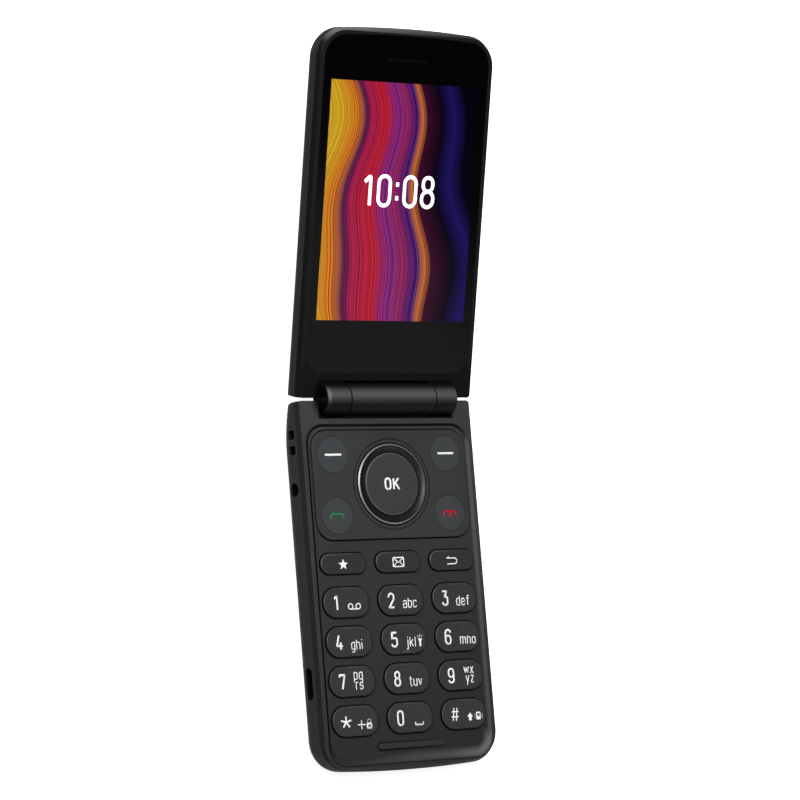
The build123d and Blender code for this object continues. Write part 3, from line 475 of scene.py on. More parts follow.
@dataclass(frozen=True)
class Finish:
    """What every finish has: a name, a colour and how it takes light."""

    name: str
    colour: Colour
    roughness: float = 0.5
    specular: float = 0.2

    def paint(self, surface: Surface) -> None:
        """Lays what the finish has beyond its plain values."""

    def toned(self, by: float) -> Colour:
        """The finish's colour, lighter or darker."""
        return tuple(value * by for value in self.colour)

    def build(self) -> Material:
        """Makes the material."""
        surface = Surface(self.name, self.colour, self.roughness, self.specular)
        self.paint(surface)
        return surface.done()


@dataclass(frozen=True)
class Moulded(Finish):
    """Moulded plastic or rubber with a fine grain and a slight change of tone."""

    grain_size: float = 0.16
    grain_depth: float = 0.004
    tone: float = 0.1
    smear: float = 0.05

    def paint(self, surface: Surface) -> None:
        """Lays the grain, tone and handling marks."""
        grain = surface.graph.use(EFFECTS.grain, Grain_Size=self.grain_size)
        surface.colour = self.toned(1 - self.tone)
        surface.lay(grain["Tone"], self.toned(1 + self.tone))
        surface.handle(self.roughness, self.smear, self.smear)
        surface.bump(grain["Height"], self.grain_depth)


@dataclass(frozen=True)
class Casing(Moulded):
    """Casing plastic with painted light and shade over its wall, cut edge, rim and barrel, and
    painted shade in its openings.
    """

    half: Half = Half.BASE
    wall_top: float = -1.8
    edge_width: float = 0.75
    rim_width: float = 1.1
    # These tones are painted light and shade: the cut edge shaded, the rim lit, the inner floor and
    # a band near the hinge lit on the base and shaded on the lid, and a highlight line along the
    # top of the wall.
    edge_shade_colour: Colour = (0.0075, 0.008, 0.0085)
    near_rise: Rise = (8.5, 5.0)
    near_lighting_colour: Colour = (0.036, 0.0375, 0.0395)
    edge_highlight_colour: Colour = (0.016, 0.017, 0.018)
    highlight_half: float = 0.09
    highlight_cover: float = 0.6
    rim_lit_colour: Colour = (0.031, 0.0325, 0.0345)
    inner_lighting_colour: Colour = (0.026, 0.027, 0.0285)
    shade_and_seam_colour: Colour = (0.001, 0.001, 0.001)
    # Painted shade in openings, in the barrel's pocket and beside its left end; also the dark
    # colour of the barrel's seams.
    hole_level: float = -0.8
    # The barrel is painted in shade, with painted highlights along its crest, low on it and at its
    # left end.
    barrel_shade_colour: Colour = (0.003, 0.0031, 0.0032)
    barrel_low_light_colour: Colour = (0.013, 0.0135, 0.014)
    crest_highlight_colour: Colour = (0.062, 0.064, 0.066)
    crest_end_highlight_colour: Colour = (0.11, 0.113, 0.117)
    seam_cover: float = 0.85

    def tones(self, surface: Surface) -> None:
        """Lays painted light and shade, one tone over another, from the wall inwards."""
        place, _, y, level = surface.local(self.half)
        inside = surface.graph.use(EFFECTS.outline, Vector=place)["Inside"]
        above = level.rise(self.wall_top, 0.06)
        # Painted shade on the cut edge, then painted light on the rim, the floor and near the
        # hinge.
        surface.lay(above, self.edge_shade_colour)
        rim = above * inside.rise(self.edge_width, 0.08)
        surface.lay(rim, self.rim_lit_colour)
        floor = inside.rise(self.edge_width + self.rim_width + 0.25, 0.5)
        surface.lay(above * floor, self.inner_lighting_colour)
        surface.lay(rim * (1.0 - abs(y).rise(*self.near_rise)), self.near_lighting_colour)
        # A painted highlight line along the top of the wall.
        line = level.band(self.wall_top - self.highlight_half, self.wall_top + self.highlight_half, 0.02)
        surface.lay(line * (inside < 0.3) * self.highlight_cover, self.edge_highlight_colour)
        # Painted shade inside the openings and holes.
        deep = (inside.rise(0.45, 0.4) - above).clamped()
        hole = (1.0 - level.rise(self.hole_level, 0.04)) * inside.rise(2.2, 0.2)
        surface.lay(deep.most(hole), self.shade_and_seam_colour)

    def paint(self, surface: Surface) -> None:
        """Lays the plastic, its painted light and shade, and the painted highlights, painted shade
        and dark seams of the hinge barrel.
        """
        super().paint(surface)
        self.tones(surface)
        graph = surface.graph
        masks = graph.use(EFFECTS.barrel, Vector=surface.local(Half.BASE)[0])
        # Painted shade in the barrel's pocket and beside its left end.
        surface.lay(masks["Pocket"].most(masks["Scoop"]), self.shade_and_seam_colour)
        # Painted highlights over the barrel's painted shade, then its dark seams.
        turned = graph.blend(masks["Low Light"], self.barrel_shade_colour, self.barrel_low_light_colour)
        turned = graph.blend(masks["Crest"], turned, self.crest_highlight_colour)
        turned = graph.blend(masks["End"] * masks["Crest"], turned, self.crest_end_highlight_colour)
        turned = graph.blend(masks["Seam"] * self.seam_cover, turned, self.shade_and_seam_colour)
        surface.lay(masks["Barrel"], turned)


@dataclass(frozen=True)
class EndLit(Casing):
    """Casing with a painted highlight along its far edge, stronger on one side than on the other.
    """

    far_edge_highlight_colour: Colour = (0.11, 0.112, 0.115)
    end_rise: Rise = (91.5, 3.0)
    end_width: float = 1.3
    end_side: Line = (-0.02, 0.47)

    def tones(self, surface: Surface) -> None:
        """Adds the painted highlight along the far edge to the tones of the casing."""
        super().tones(surface)
        place, x, y, level = surface.local(self.half)
        inside = surface.graph.use(EFFECTS.outline, Vector=place)["Inside"]
        mask = x.scaled(*self.end_side).clamped() * y.rise(*self.end_rise)
        mask = mask * level.rise(self.wall_top, 0.06) * inside.band(-1.0, self.end_width, 0.15)
        surface.lay(mask, self.far_edge_highlight_colour)


@dataclass(frozen=True)
class Recessed(Casing):
    """Casing with a sunk field whose slope has painted shade on one side and painted light on the
    other.
    """

    recess: Outline = Outline(49.4, 25.15, 43.2, 5.4)
    pad: Outline = Outline(88.3, 10.24, 0.865, 0.865)
    keys_half_width: float = 24.9
    high: Rise = (-0.85, 0.1)
    far: Rise = (87.0, 4.0)
    dark_side: Rise = (-89.5, 5.0)
    dark_top: Rise = (-9.5, 4.0)
    lit_side: Line = (0.1, -1.2)
    # Painted shade for the crease, the far-right darkening and the fine lines; painted light for
    # the slope and the cove, and a painted glint.
    crease: Band = (0.12, 0.75, 0.15)
    crease_shade_colour: Colour = (0.0015, 0.0015, 0.0015)
    slope: Band = (0.0, 1.15, 0.5)
    slope_share: float = 0.38
    lit_colour: Colour = (0.06, 0.062, 0.0645)
    glint_colour: Colour = (0.085, 0.087, 0.091)
    cove: Band = (0.3, 2.2, 1.4)
    cove_side: Line = (0.025, 0.55)
    far_right_shade: Rise = (72.0, 60.0)
    far_right_shade_share: float = 0.42
    lip: Band = (-0.25, 0.1, 0.1)
    gap: Band = (-0.3, 0.1, 0.12)
    gap_side: Line = (-0.05, 0.55)
    line_shade_cover: float = 0.75
    key_line: Band = (-0.34, 0.2, 0.12)
    key_shade_cover: float = 0.85

    def tones(self, surface: Surface) -> None:
        """Adds painted light and shade to the tones of the casing: the slope's two sides, the far
        cove and its glint, darkening towards the far right, and fine painted shade lines.
        """
        super().tones(surface)
        place, x, y, level = surface.local(self.half)
        inside = self.recess.inside(surface.graph, place)
        high, back = level.rise(*self.high), y * -1.0
        # Painted shade in the crease along the left and hinge-side edges of the sunk field.
        left = (x * -0.1).clamped() * y.rise(*self.dark_side)
        dark = left.most(y.rise(*self.dark_top))
        surface.lay(inside.band(*self.crease) * dark * high, self.crease_shade_colour)
        right, far = x.scaled(*self.lit_side).clamped(), back.rise(*self.far)
        slope = inside.band(*self.slope) * right * self.slope_share
        cove = inside.band(*self.cove) * far * x.scaled(*self.cove_side).clamped()
        # Painted shade that deepens towards the far end and the right.
        far_right_shade = x.scaled(0.4, back).rise(*self.far_right_shade) * self.far_right_shade_share
        surface.lay(far_right_shade * high, self.crease_shade_colour)
        # Painted light on the right slope and in the far cove, and a painted glint in its right
        # corner.
        surface.lay((slope.most(cove) - dark).clamped() * high, self.lit_colour)
        surface.lay(cove * right * high, self.glint_colour)
        # The pad's line marks its gap and is painted shade, heavier on its left; the line along the
        # far edge is painted shade.
        pad = self.pad.inside(surface.graph, place)
        gap = pad.band(*self.gap) * x.scaled(*self.gap_side).clamped()
        lines = (inside.band(*self.lip) * far).most(gap) * high
        surface.lay(lines * self.line_shade_cover, self.crease_shade_colour)
        # Painted shade lines round the key openings.
        lines = self.key_shade_lines(surface) * high
        surface.lay(lines * self.key_shade_cover, self.crease_shade_colour)

    def key_shade_lines(self, surface: Surface) -> Value:
        """Mask of the painted shade line round every key opening.

        Args:
            surface: the material under way.

        Returns:
            The mask.
        """
        place, x, y, _ = surface.local(self.half)
        masks = []
        for grid in (NUMBER_GRID, FUNCTION_GRID):
            inside = grid.inside(surface.graph, grid.cell(surface.graph, place))
            line = inside.band(*self.key_line) * y.band(*grid.rows, 0.1)
            masks.append(line * (abs(x) < self.keys_half_width))
        return masks[0].most(masks[1])


@dataclass(frozen=True)
class Cap(Moulded):
    """Key plastic with painted shade on its sides and a painted highlight on its upper-left edge.
    """

    grid: KeyGrid = FUNCTION_GRID
    skirt_level: float = -0.42
    skirt_soft: float = 0.08
    skirt_shade_colour: Colour = (0.002, 0.002, 0.0022)
    lit_colour: Colour = (0.055, 0.057, 0.0595)
    lit_edge: Band = (0.1, 0.5, 0.15)
    bar: Rise = (-0.1, 0.08)

    def paint(self, surface: Surface) -> None:
        """Lays the plastic, a painted highlight on the upper-left edge and on the raised bar, and
        painted shade on the sides.
        """
        super().paint(surface)
        graph = surface.graph
        place, _, _, level = surface.local(Half.BASE)
        cell = self.grid.cell(graph, place)
        x, y, _ = graph.axes(cell)
        # Painted highlight on the edge that faces the upper left.
        facing = x.scaled(-0.08, y.scaled(0.2, self.grid.middle * 0.2 - 0.1)).clamped()
        surface.lay(self.grid.inside(graph, cell).band(*self.lit_edge) * facing, self.lit_colour)
        # Painted highlight on the top of the raised bar.
        surface.lay(level.rise(*self.bar), self.lit_colour)
        # Painted shade on the sides below the key top.
        side = (self.skirt_level - level).scaled(1 / self.skirt_soft, 0.5).clamped()
        surface.lay(side, self.skirt_shade_colour)


@dataclass(frozen=True)
class KeyCap(Cap):
    """Number key cap with a lighter round spot behind the digit."""

    grid: KeyGrid = NUMBER_GRID
    spot_colour: Colour = (0.027, 0.0285, 0.0298)
    spot_radius: float = 3.8
    spot_across: float = -3.0

    def paint(self, surface: Surface) -> None:
        """Lays one spot for every key of the grid."""
        super().paint(surface)
        cell = self.grid.cell(surface.graph, surface.local(Half.BASE)[0])
        place = {"Vector": cell, "Across": self.spot_across, "Along": -self.grid.middle}
        sizes = {"Inner": -1.0, "Outer": self.spot_radius, "Soft": 0.12}
        spot = surface.graph.use(EFFECTS.disc, **place, **sizes)
        surface.lay(spot["Mask"], self.spot_colour)


@dataclass(frozen=True)
class Plate(Moulded):
    """Panel plastic with painted shade on the walls of the opening for the ring, and a fine dark
    line round its collar.
    """

    opening: float = 11.2
    collar: float = 11.6
    collar_half: float = 0.12
    collar_cover: float = 0.9
    lip: Band = (10.5, 10.75, 0.1)
    shade_and_line_colour: Colour = (0.002, 0.002, 0.002)

    def paint(self, surface: Surface) -> None:
        """Lays painted shade on the opening's walls and the dark lines round it."""
        super().paint(surface)
        place, _, _, level = surface.local(Half.BASE)
        reach = surface.graph.use(EFFECTS.disc, Vector=place, Along=NAVIGATION_Y)["Distance"]
        # Painted shade on the walls of the ring's opening; the collar and lip lines are dark lines.
        walls = (1.0 - level.rise(-0.5, 0.1)) * (reach < self.opening)
        line = reach.band(self.collar - self.collar_half, self.collar + self.collar_half, 0.12)
        dark = (line * self.collar_cover).most(walls.most(reach.band(*self.lip)))
        surface.lay(dark, self.shade_and_line_colour)


@dataclass(frozen=True)
class RingMetal(Finish):
    """Dark ring with one bright cut band round the navigation centre."""

    bright: Colour = (0.21, 0.215, 0.225)
    bright_roughness: float = 0.36
    metallic: float = 0.5
    inner: float = 9.98
    outer: float = 10.4
    floor: float = -0.45
    lathe_pitch: float = 0.12
    lathe_depth: float = 0.0008

    def paint(self, surface: Surface) -> None:
        """Lays the bright turned band over the dark film."""
        place, _, _, level = surface.local(Half.BASE)
        sizes = {"Inner": self.inner, "Outer": self.outer, "Soft": 0.04}
        band = surface.graph.use(EFFECTS.disc, Vector=place, Along=NAVIGATION_Y, **sizes)
        mask = band["Mask"] * (level > self.floor)
        surface.lay(mask, self.bright)
        rough = mask.between(self.roughness, self.bright_roughness)
        surface.set(Metallic=mask * self.metallic, Roughness=rough)
        surface.bump((band["Distance"] * (math.tau / self.lathe_pitch)).sine(), self.lathe_depth)


@dataclass(frozen=True)
class Metal(Finish):
    """Bright or dark metal with fine brushed lines."""

    line_size: float = 0.05
    stretch: float = 0.08
    unevenness: float = 0.08

    def paint(self, surface: Surface) -> None:
        """Lays the brushed lines."""
        scale = (1.0 / MM, self.stretch / MM, 1.0 / MM)
        place = surface.graph.coordinates()
        long = surface.graph.take("ShaderNodeMapping", Vector=place, Scale=scale)
        sizes = {"Detail": 2.0, "Scale": 1.0 / self.line_size}
        noise = surface.graph.take("ShaderNodeTexNoise", Vector=long, **sizes)
        rough = noise.between(self.roughness - self.unevenness, self.roughness + self.unevenness)
        surface.set(Metallic=1.0, Roughness=rough)


@dataclass(frozen=True)
class Window(Finish):
    """Hard glossy window over a dark print, with faint smears."""

    smear: float = 0.06
    speck: float = 0.02

    def paint(self, surface: Surface) -> None:
        """Lays the handling marks."""
        surface.handle(self.roughness, self.smear, self.speck)


@dataclass(frozen=True)
class Print(Finish):
    """Printed mark, slightly uneven in cover."""

    glow: float = 0.0
    thin: float = 0.94

    def paint(self, surface: Surface) -> None:
        """Lays the uneven cover and the glow."""
        grain = surface.graph.use(EFFECTS.grain, Grain_Size=0.08, Patch_Size=3.0)
        surface.colour = self.toned(self.thin)
        surface.lay(grain["Height"], self.colour)
        if self.glow:
            surface.set(Emission_Color=self.colour, Emission_Strength=self.glow)


@dataclass(frozen=True)
class Picture(Finish):
    """Lit screen: slow upright waves of fine stripes, warm on one side and dark on the other."""

    size: Point = (45.4, 60.6)
    middle: float = 50.4
    wave: Line = (4.6, 0.6)
    ripple: Line = (10.5, 2.0)
    lean: float = 0.16
    spread: Line = (-0.18, 1.0)
    stripes: tuple[Line, ...] = ((24.0, 0.0), (75.0, 3.7))
    ramp: tuple[tuple[float, Colour], ...] = (
        (0.00, (0.95, 0.55, 0.03)),
        (0.13, (0.92, 0.24, 0.02)),
        (0.20, (0.10, 0.01, 0.10)),
        (0.24, (0.55, 0.02, 0.10)),
        (0.36, (0.72, 0.02, 0.04)),
        (0.45, (0.30, 0.03, 0.30)),
        (0.52, (0.42, 0.03, 0.16)),
        (0.60, (0.05, 0.01, 0.22)),
        (0.64, (0.85, 0.22, 0.05)),
        (0.68, (0.06, 0.005, 0.03)),
        (0.80, (0.004, 0.002, 0.012)),
        (0.90, (0.02, 0.01, 0.16)),
        (1.00, (0.003, 0.001, 0.006)),
    )

    def paint(self, surface: Surface) -> None:
        """Lays the waves as light of their own."""
        graph = surface.graph
        _, x, y, _ = surface.local(Half.LID)
        width, length = self.size
        along = y.scaled(1 / length, 0.5 - self.middle / length)
        wave, ripple = along.scaled(*self.wave).sine(), along.scaled(*self.ripple).sine()
        lean = along.scaled(self.lean, wave.scaled(0.13, ripple * 0.03))
        band = (x.scaled(1 / width, 0.5) + lean - 0.06) * wave.scaled(*self.spread)
        ramp = graph.add("ShaderNodeValToRGB", Fac=band)
        stops = ramp.color_ramp.elements
        for position, _ in self.ramp[1:-1]:
            stops.new(position)
        for stop, (position, colour) in zip(stops, self.ramp):
            stop.position, stop.color = position, (*colour, 1.0)
        coarse, fine = (
            graph.take(
                "ShaderNodeTexNoise", {"noise_dimensions": "1D"}, W=band.scaled(*line), Detail=2.0
            )
            for line in self.stripes
        )
        depth = (coarse.scaled(1.5, fine * 1.6) - 0.95).clamped()
        lit = graph.blend(depth, BLACK, graph.outputs(ramp)["Color"])
        surface.set(Emission_Color=lit, Emission_Strength=1.0)


NUMBER_KEY = (0.0235, 0.0247, 0.026)
# Painted light and shade of the lid's frame: its cut edge, inner part and the band near the hinge
# are painted darker than its rim.
LID_TONES = {
    "half": Half.LID,
    "wall_top": -1.59,
    "edge_width": 0.65,
    "edge_shade_colour": (0.0025, 0.0027, 0.0029),
    "rim_lit_colour": (0.0088, 0.009, 0.0093),
    "inner_lighting_colour": (0.0052, 0.0053, 0.0055),
    "near_lighting_colour": (0.0047, 0.0048, 0.005),
}
# The select key's bright band is a painted highlight on its edge, a lighter colour that is not
# metal.
SELECT_EDGE_HIGHLIGHT = {
    "bright": (0.085, 0.087, 0.09),
    "bright_roughness": 0.5,
    "metallic": 0.0,
    "inner": 7.76,
    "outer": 7.97,
}
FINISHES = {
    finish.name: finish
    for finish in (
        Recessed("base_casing", (0.0058, 0.0062, 0.0065), 0.5, 0.12),
        EndLit("lid_casing", (0.0088, 0.0094, 0.0099), 0.5, 0.06, **LID_TONES),
        Moulded("lid_back", (0.022, 0.0235, 0.025), 0.5, 0.14),
        Moulded("inner_frame", (0.04, 0.04, 0.044), 0.55, 0.3),
        Moulded("back_cover", (0.024, 0.0255, 0.027), 0.5, 0.14, grain_depth=0.008),
        Plate("panel", (0.029, 0.0305, 0.032), 0.5, 0.14, grain_depth=0.002),
        Moulded("round_key", (0.0385, 0.0415, 0.044), 0.5, 0.14, grain_depth=0.002),
        Moulded("side_key", (0.0068, 0.0072, 0.0075), 0.5, 0.14, grain_depth=0.002),
        Cap("key", NUMBER_KEY, 0.42, 0.22, grain_depth=0.002),
        KeyCap("key_cap", NUMBER_KEY, 0.42, 0.22, grain_depth=0.002),
        # A lighter copy of the key plastic for the ridges: painted light on their tops.
        Moulded("ridge", (0.036, 0.0375, 0.0393), 0.45, 0.2, grain_depth=0.0),
        RingMetal("ring", (0.006, 0.0062, 0.0065), 0.38, 0.3),
        RingMetal("select", (0.034, 0.0352, 0.037), 0.5, 0.14, **SELECT_EDGE_HIGHLIGHT),
        Window("window", (0.0006, 0.0006, 0.0006), 0.14, 0.09),
        Moulded("rubber", (0.028, 0.029, 0.031), 0.62, 0.14),
        Moulded("pad_rubber", (0.0215, 0.0225, 0.0238), 0.62, 0.14),
        Moulded("board", (0.01, 0.06, 0.03), 0.4, 0.4),
        Moulded("film", (0.4, 0.4, 0.4), 0.35, 0.5),
        Moulded("cell", (0.05, 0.05, 0.055), 0.4, 0.4),
        Metal("steel", (0.55, 0.55, 0.56), 0.3),
        Metal("socket", (0.004, 0.004, 0.004), 0.5),
        Moulded("dark_plastic", (0.002, 0.002, 0.002), 0.6, 0.05),
        Metal("mesh", (0.006, 0.006, 0.006), 0.6),
        Metal("trim_ring", (0.35, 0.36, 0.38), 0.25),
        Window("camera_glass", (0.004, 0.004, 0.008), 0.04, 0.5),
        Window("flash", (0.75, 0.72, 0.55), 0.2, 0.5),
        Picture("display", BLACK, 0.14, 0.05),
        Window("screen_off", (0.004, 0.004, 0.005), 0.2, 0.3),
        Print("white_print", (0.8, 0.81, 0.82), 0.5, 0.2),
        Print("green_print", (0.014, 0.17, 0.06), 0.5, 0.2),
        Print("red_print", (0.42, 0.005, 0.02), 0.5, 0.2),
        Print("lit_print", (0.95, 0.95, 0.95), 0.3, 0.1, glow=0.9),
    )
}


def put(name: str, data: ID) -> Object:
    """Puts data into the scene as an object."""
    thing = bpy.data.objects.new(name, data)
    bpy.context.scene.collection.objects.link(thing)
    return thing


def meshed(form: BMesh, name: str, material: Material) -> Mesh:
    """Turns an edited form into a mesh.

    Args:
        form: the form, which is freed.
        name: the mesh's name.
        material: its one material.

    Returns:
        The mesh.
    """
    mesh = bpy.data.meshes.new(name)
    form.to_mesh(mesh)
    form.free()
    mesh.materials.append(material)
    return mesh


class Workshop:
    """Builds materials once, on first use, and turns meshes into pieces."""

    def __init__(self) -> None:
        """Starts with no materials."""
        self.made: dict[str, Material] = {}

    def material(self, name: str) -> Material:
        """The material of a named finish."""
        if name not in self.made:
            self.made[name] = FINISHES[name].build()
        return self.made[name]

    def dress(self, finishes: dict[str, str]) -> None:
        """Gives solids that stay as they are their materials.

        Args:
            finishes: the nodes of each finish, parted by spaces.
        """
        for finish, nodes in finishes.items():
            for node in nodes.split():
                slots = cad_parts[node].data.materials
                slots.clear()
                slots.append(self.material(finish))
            LOG.info("dressed %s in %s", nodes, finish)

    def piece(self, mesh: Mesh, name: str, body: str, slot: str) -> None:
        """Makes an object that rides on a body.

        Args:
            mesh: its mesh, in the row frame.
            name: the piece's name.
            body: the body that it moves with.
            slot: not used.
        """
        mesh.name = name
        piece = put(name, mesh)
        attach(piece, body)
        LOG.info("piece %s on %s, %d faces", name, body, len(mesh.polygons))


SHOP = Workshop()


class Trees:
    """Geometry Nodes trees for what repeats or follows a line."""

    def __init__(self) -> None:
        """Builds the trees."""
        self.stroke, self.slats = self._stroke(), self._slats()

    @staticmethod
    def _begin(name: str, sizes: dict[str, float]) -> tuple[Graph, dict[str, Value]]:
        """Starts a tree with geometry in and out, named sizes and a material."""
        inputs = {"Geometry": "Geometry", **sizes, "Material": "Material"}
        return begin(name, inputs, ["Geometry"], "Geometry")

    @staticmethod
    def _end(given: dict[str, Value], geometry: Value) -> NodeTree:
        """Realises the geometry, sets its material and puts it out."""
        graph = geometry.graph
        real = graph.take("GeometryNodeRealizeInstances", Geometry=geometry)
        dressed = graph.take("GeometryNodeSetMaterial", Geometry=real, Material=given["Material"])
        return graph.out(Geometry=dressed)

    def _stroke(self) -> NodeTree:
        """Flat printed line along a curve, rounded at each point by the point's radius."""
        graph, given = self._begin("printed_stroke", {"Width": 0.4, "Thickness": 0.02})
        curve = graph.take(
            "GeometryNodeFilletCurve",
            {"mode": "POLY"},
            Curve=given["Geometry"],
            Radius=graph.take("GeometryNodeInputRadius"),
            Limit_Radius=True,
            Count=5,
        )
        curve = graph.take("GeometryNodeSetCurveRadius", Curve=curve, Radius=1.0)
        size = {"Width": given["Width"], "Height": given["Thickness"]}
        profile = graph.take("GeometryNodeCurvePrimitiveQuadrilateral", **size)
        ends = {"Profile_Curve": profile, "Fill_Caps": True}
        return self._end(given, graph.take("GeometryNodeCurveToMesh", Curve=curve, **ends))

    def _slats(self) -> NodeTree:
        """Row of raised slats, one on every point, as long as the point's own length says."""
        graph, given = self._begin("raised_slats", {"Width": 0.2, "Height": 0.05})
        size = graph.take("ShaderNodeCombineXYZ", X=given["Width"], Y=1.0, Z=given["Height"])
        bar = graph.take("GeometryNodeMeshCube", Size=size)
        kind = {"data_type": "FLOAT"}
        length = graph.take("GeometryNodeInputNamedAttribute", kind, Name="length")
        scale = graph.take("ShaderNodeCombineXYZ", X=1.0, Y=length, Z=1.0)
        bars = {"Points": given["Geometry"], "Instance": bar, "Scale": scale}
        return self._end(given, graph.take("GeometryNodeInstanceOnPoints", **bars))

    def run(self, source: ID, tree: NodeTree, finish: str, **sizes: float) -> Mesh:
        """Runs a tree on a mesh or curve and takes the plain mesh that it makes.

        Args:
            source: the mesh or curve data that the tree starts from.
            tree: one of the trees.
            finish: the finish that the tree sets.
            sizes: values for the tree's named inputs.

        Returns:
            The finished mesh.
        """
        carrier = put("carrier", source)
        modifier = carrier.modifiers.new("nodes", "NODES")
        modifier.node_group = tree
        values = {**sizes, "Material": SHOP.material(finish)}
        for item in tree.interface.items_tree:
            if item.in_out == "INPUT" and item.name in values:
                modifier[item.identifier] = values[item.name]
        view = bpy.context.evaluated_depsgraph_get()
        mesh = bpy.data.meshes.new_from_object(carrier.evaluated_get(view), depsgraph=view)
        bpy.data.objects.remove(carrier)
        return mesh


TREES = Trees()


@dataclass(frozen=True)
class Stroke:
    """Printed line through points; a point's third value is a corner radius of its own."""

    points: tuple[tuple[float, ...], ...]
    width: float = 0.36
    corner: float = 0.0
    closed: bool = False

    def mesh(self, finish: str) -> Mesh:
        """Makes the line's flat mesh."""
        curve = bpy.data.curves.new("stroke", "CURVE")
        curve.dimensions = "2D"
        spline = curve.splines.new("POLY")
        spline.points.add(len(self.points) - 1)
        for place, (x, y, *corner) in zip(spline.points, self.points):
            place.co = (x, y, 0.0, 1.0)
            place.radius = corner[0] if corner else self.corner
        spline.use_cyclic_u = self.closed
        return TREES.run(curve, TREES.stroke, finish, Width=self.width)


@dataclass(frozen=True)
class Patch:
    """Printed flat shape inside an outline."""

    points: tuple[Point, ...]
    height: float = 0.01

    def mesh(self, finish: str) -> Mesh:
        """Makes the shape's flat mesh."""
        form = bmesh.new()
        face = form.faces.new([form.verts.new((x, y, self.height)) for x, y in self.points])
        bmesh.ops.triangulate(form, faces=[face])
        return meshed(form, "patch", SHOP.material(finish))


# Corner radii as shares of a letter's half width, and heights as shares of its height.
BEND, SHARP = 1.0, 0.14
HEIGHTS = {"l": 0.73, "t": -0.27}
# Each letter's width in half widths, then its lines, with "o" before one that closes. A point is
# its place across, its height, and its corner if that isn't sharp ("b" for a full bend).
GLYPHS = {
    "0": "2.0; o -1,0,b 1,0,b 1,1,b -1,1,b",
    "1": "1.2; -.75,.78 .25,1 .25,0",
    "2": "2.0; -1,.74 -1,1,b 1,1,b 1,.6,.5 -1,0 1,0",
    "3": "2.0; -.9,1 .85,1 -.15,.6 1,.6,.6 1,0,b -1,0,b -1,.22",
    "4": "2.2; -.1,1 -1.1,.24 1.15,.24; .45,.52 .45,0",
    "5": "2.0; .9,1 -.8,1 -.9,.5 -.6,.6,.2 1,.62,.7 1,0,b -1,0,b -1,.2",
    "6": "2.0; o -1,0,b 1,0,b 1,.6,b -1,.6,b; -1,.35 -1,1,b 1,1,b 1,.8",
    "7": "2.0; -1,.84 -1,1 1,1 -.1,0",
    "8": "2.0; o -1,0,b 1,0,b 1,.53,b -1,.53,b; o -.85,.53,b .85,.53,b .85,1,b -.85,1,b",
    "9": "2.0; o -1,.4,b 1,.4,b 1,1,b -1,1,b; 1,.65 1,0,b -1,0,b -1,.2",
    "#": "2.2; -.7,0 -.2,1; .25,0 .75,1; -1.15,.3 1.05,.3; -1.0,.7 1.15,.7",
    "a": "2.0; -.9,.62 -.9,l,.3 1,l,.4 1,0; 1,.42 -1,.42,.3 -1,0,.3 1,0",
    "b": "2.0; -1,1 -1,0; -1,l 1,l,b 1,0,b -1,0",
    "c": "1.9; 1,.58 1,l,b -1,l,b -1,0,b 1,0,b 1,.2",
    "d": "2.0; 1,1 1,0; 1,l -1,l,b -1,0,b 1,0",
    "e": "2.0; -1,.36 1,.36 1,l,b -1,l,b -1,0,b .9,0,b 1,.16",
    "f": "1.4; 1.2,1 .1,1,.4 .1,0; -.7,l 1.0,l",
    "g": "2.0; 1,l 1,t,b -.9,t; 1,l -1,l,b -1,0,b 1,0",
    "h": "2.0; -1,1 -1,0; -1,l 1,l,b 1,0",
    "i": ".3; 0,0 0,l; 0,.95 0,1.05",
    "j": ".8; .2,l .2,t,.4 -.8,t; .2,.95 .2,1.05",
    "k": "1.9; -1,1 -1,0; .9,l -1,.28; -.35,.48 1,0",
    "l": ".3; 0,1 0,0",
    "m": "3.4; -1.7,l -1.7,0; -1.7,l 0,l,b 0,0; 0,l 1.7,l,b 1.7,0",
    "n": "2.0; -1,l -1,0; -1,l 1,l,b 1,0",
    "o": "2.0; o -1,0,b 1,0,b 1,l,b -1,l,b",
    "p": "2.0; -1,l -1,t; -1,l 1,l,b 1,0,b -1,0",
    "q": "2.0; 1,l 1,t; 1,l -1,l,b -1,0,b 1,0",
    "r": "1.3; -.6,l -.6,0; -.6,.5 -.6,l,.4 .8,l",
    "s": "1.8; .9,.6 .9,l,b -.9,l,b -.9,.4,.2 .9,.38,.2 .9,0,b -.9,0,b -.9,.16",
    "t": "1.4; -.1,1 -.1,0,.3 .8,0; -.8,l .8,l",
    "u": "2.0; -1,l -1,0,b 1,0; 1,l 1,0",
    "v": "1.8; -1,l 0,0 1,l",
    "w": "2.8; -1.5,l -.8,0 0,l .8,0 1.5,l",
    "x": "1.8; -.9,l .9,0; -.9,0 .9,l",
    "y": "1.8; -1,l 0,0; 1,l -.45,t",
    "z": "1.8; -.9,l .9,l -.9,0 .9,0",
    "K": "2.0; -1,1 -1,0; .95,1 -1,.36; -.3,.55 1.05,0",
    ":": ".3; 0,.2 0,.34; 0,.66 0,.8",
}
GLYPHS["O"] = GLYPHS["0"]


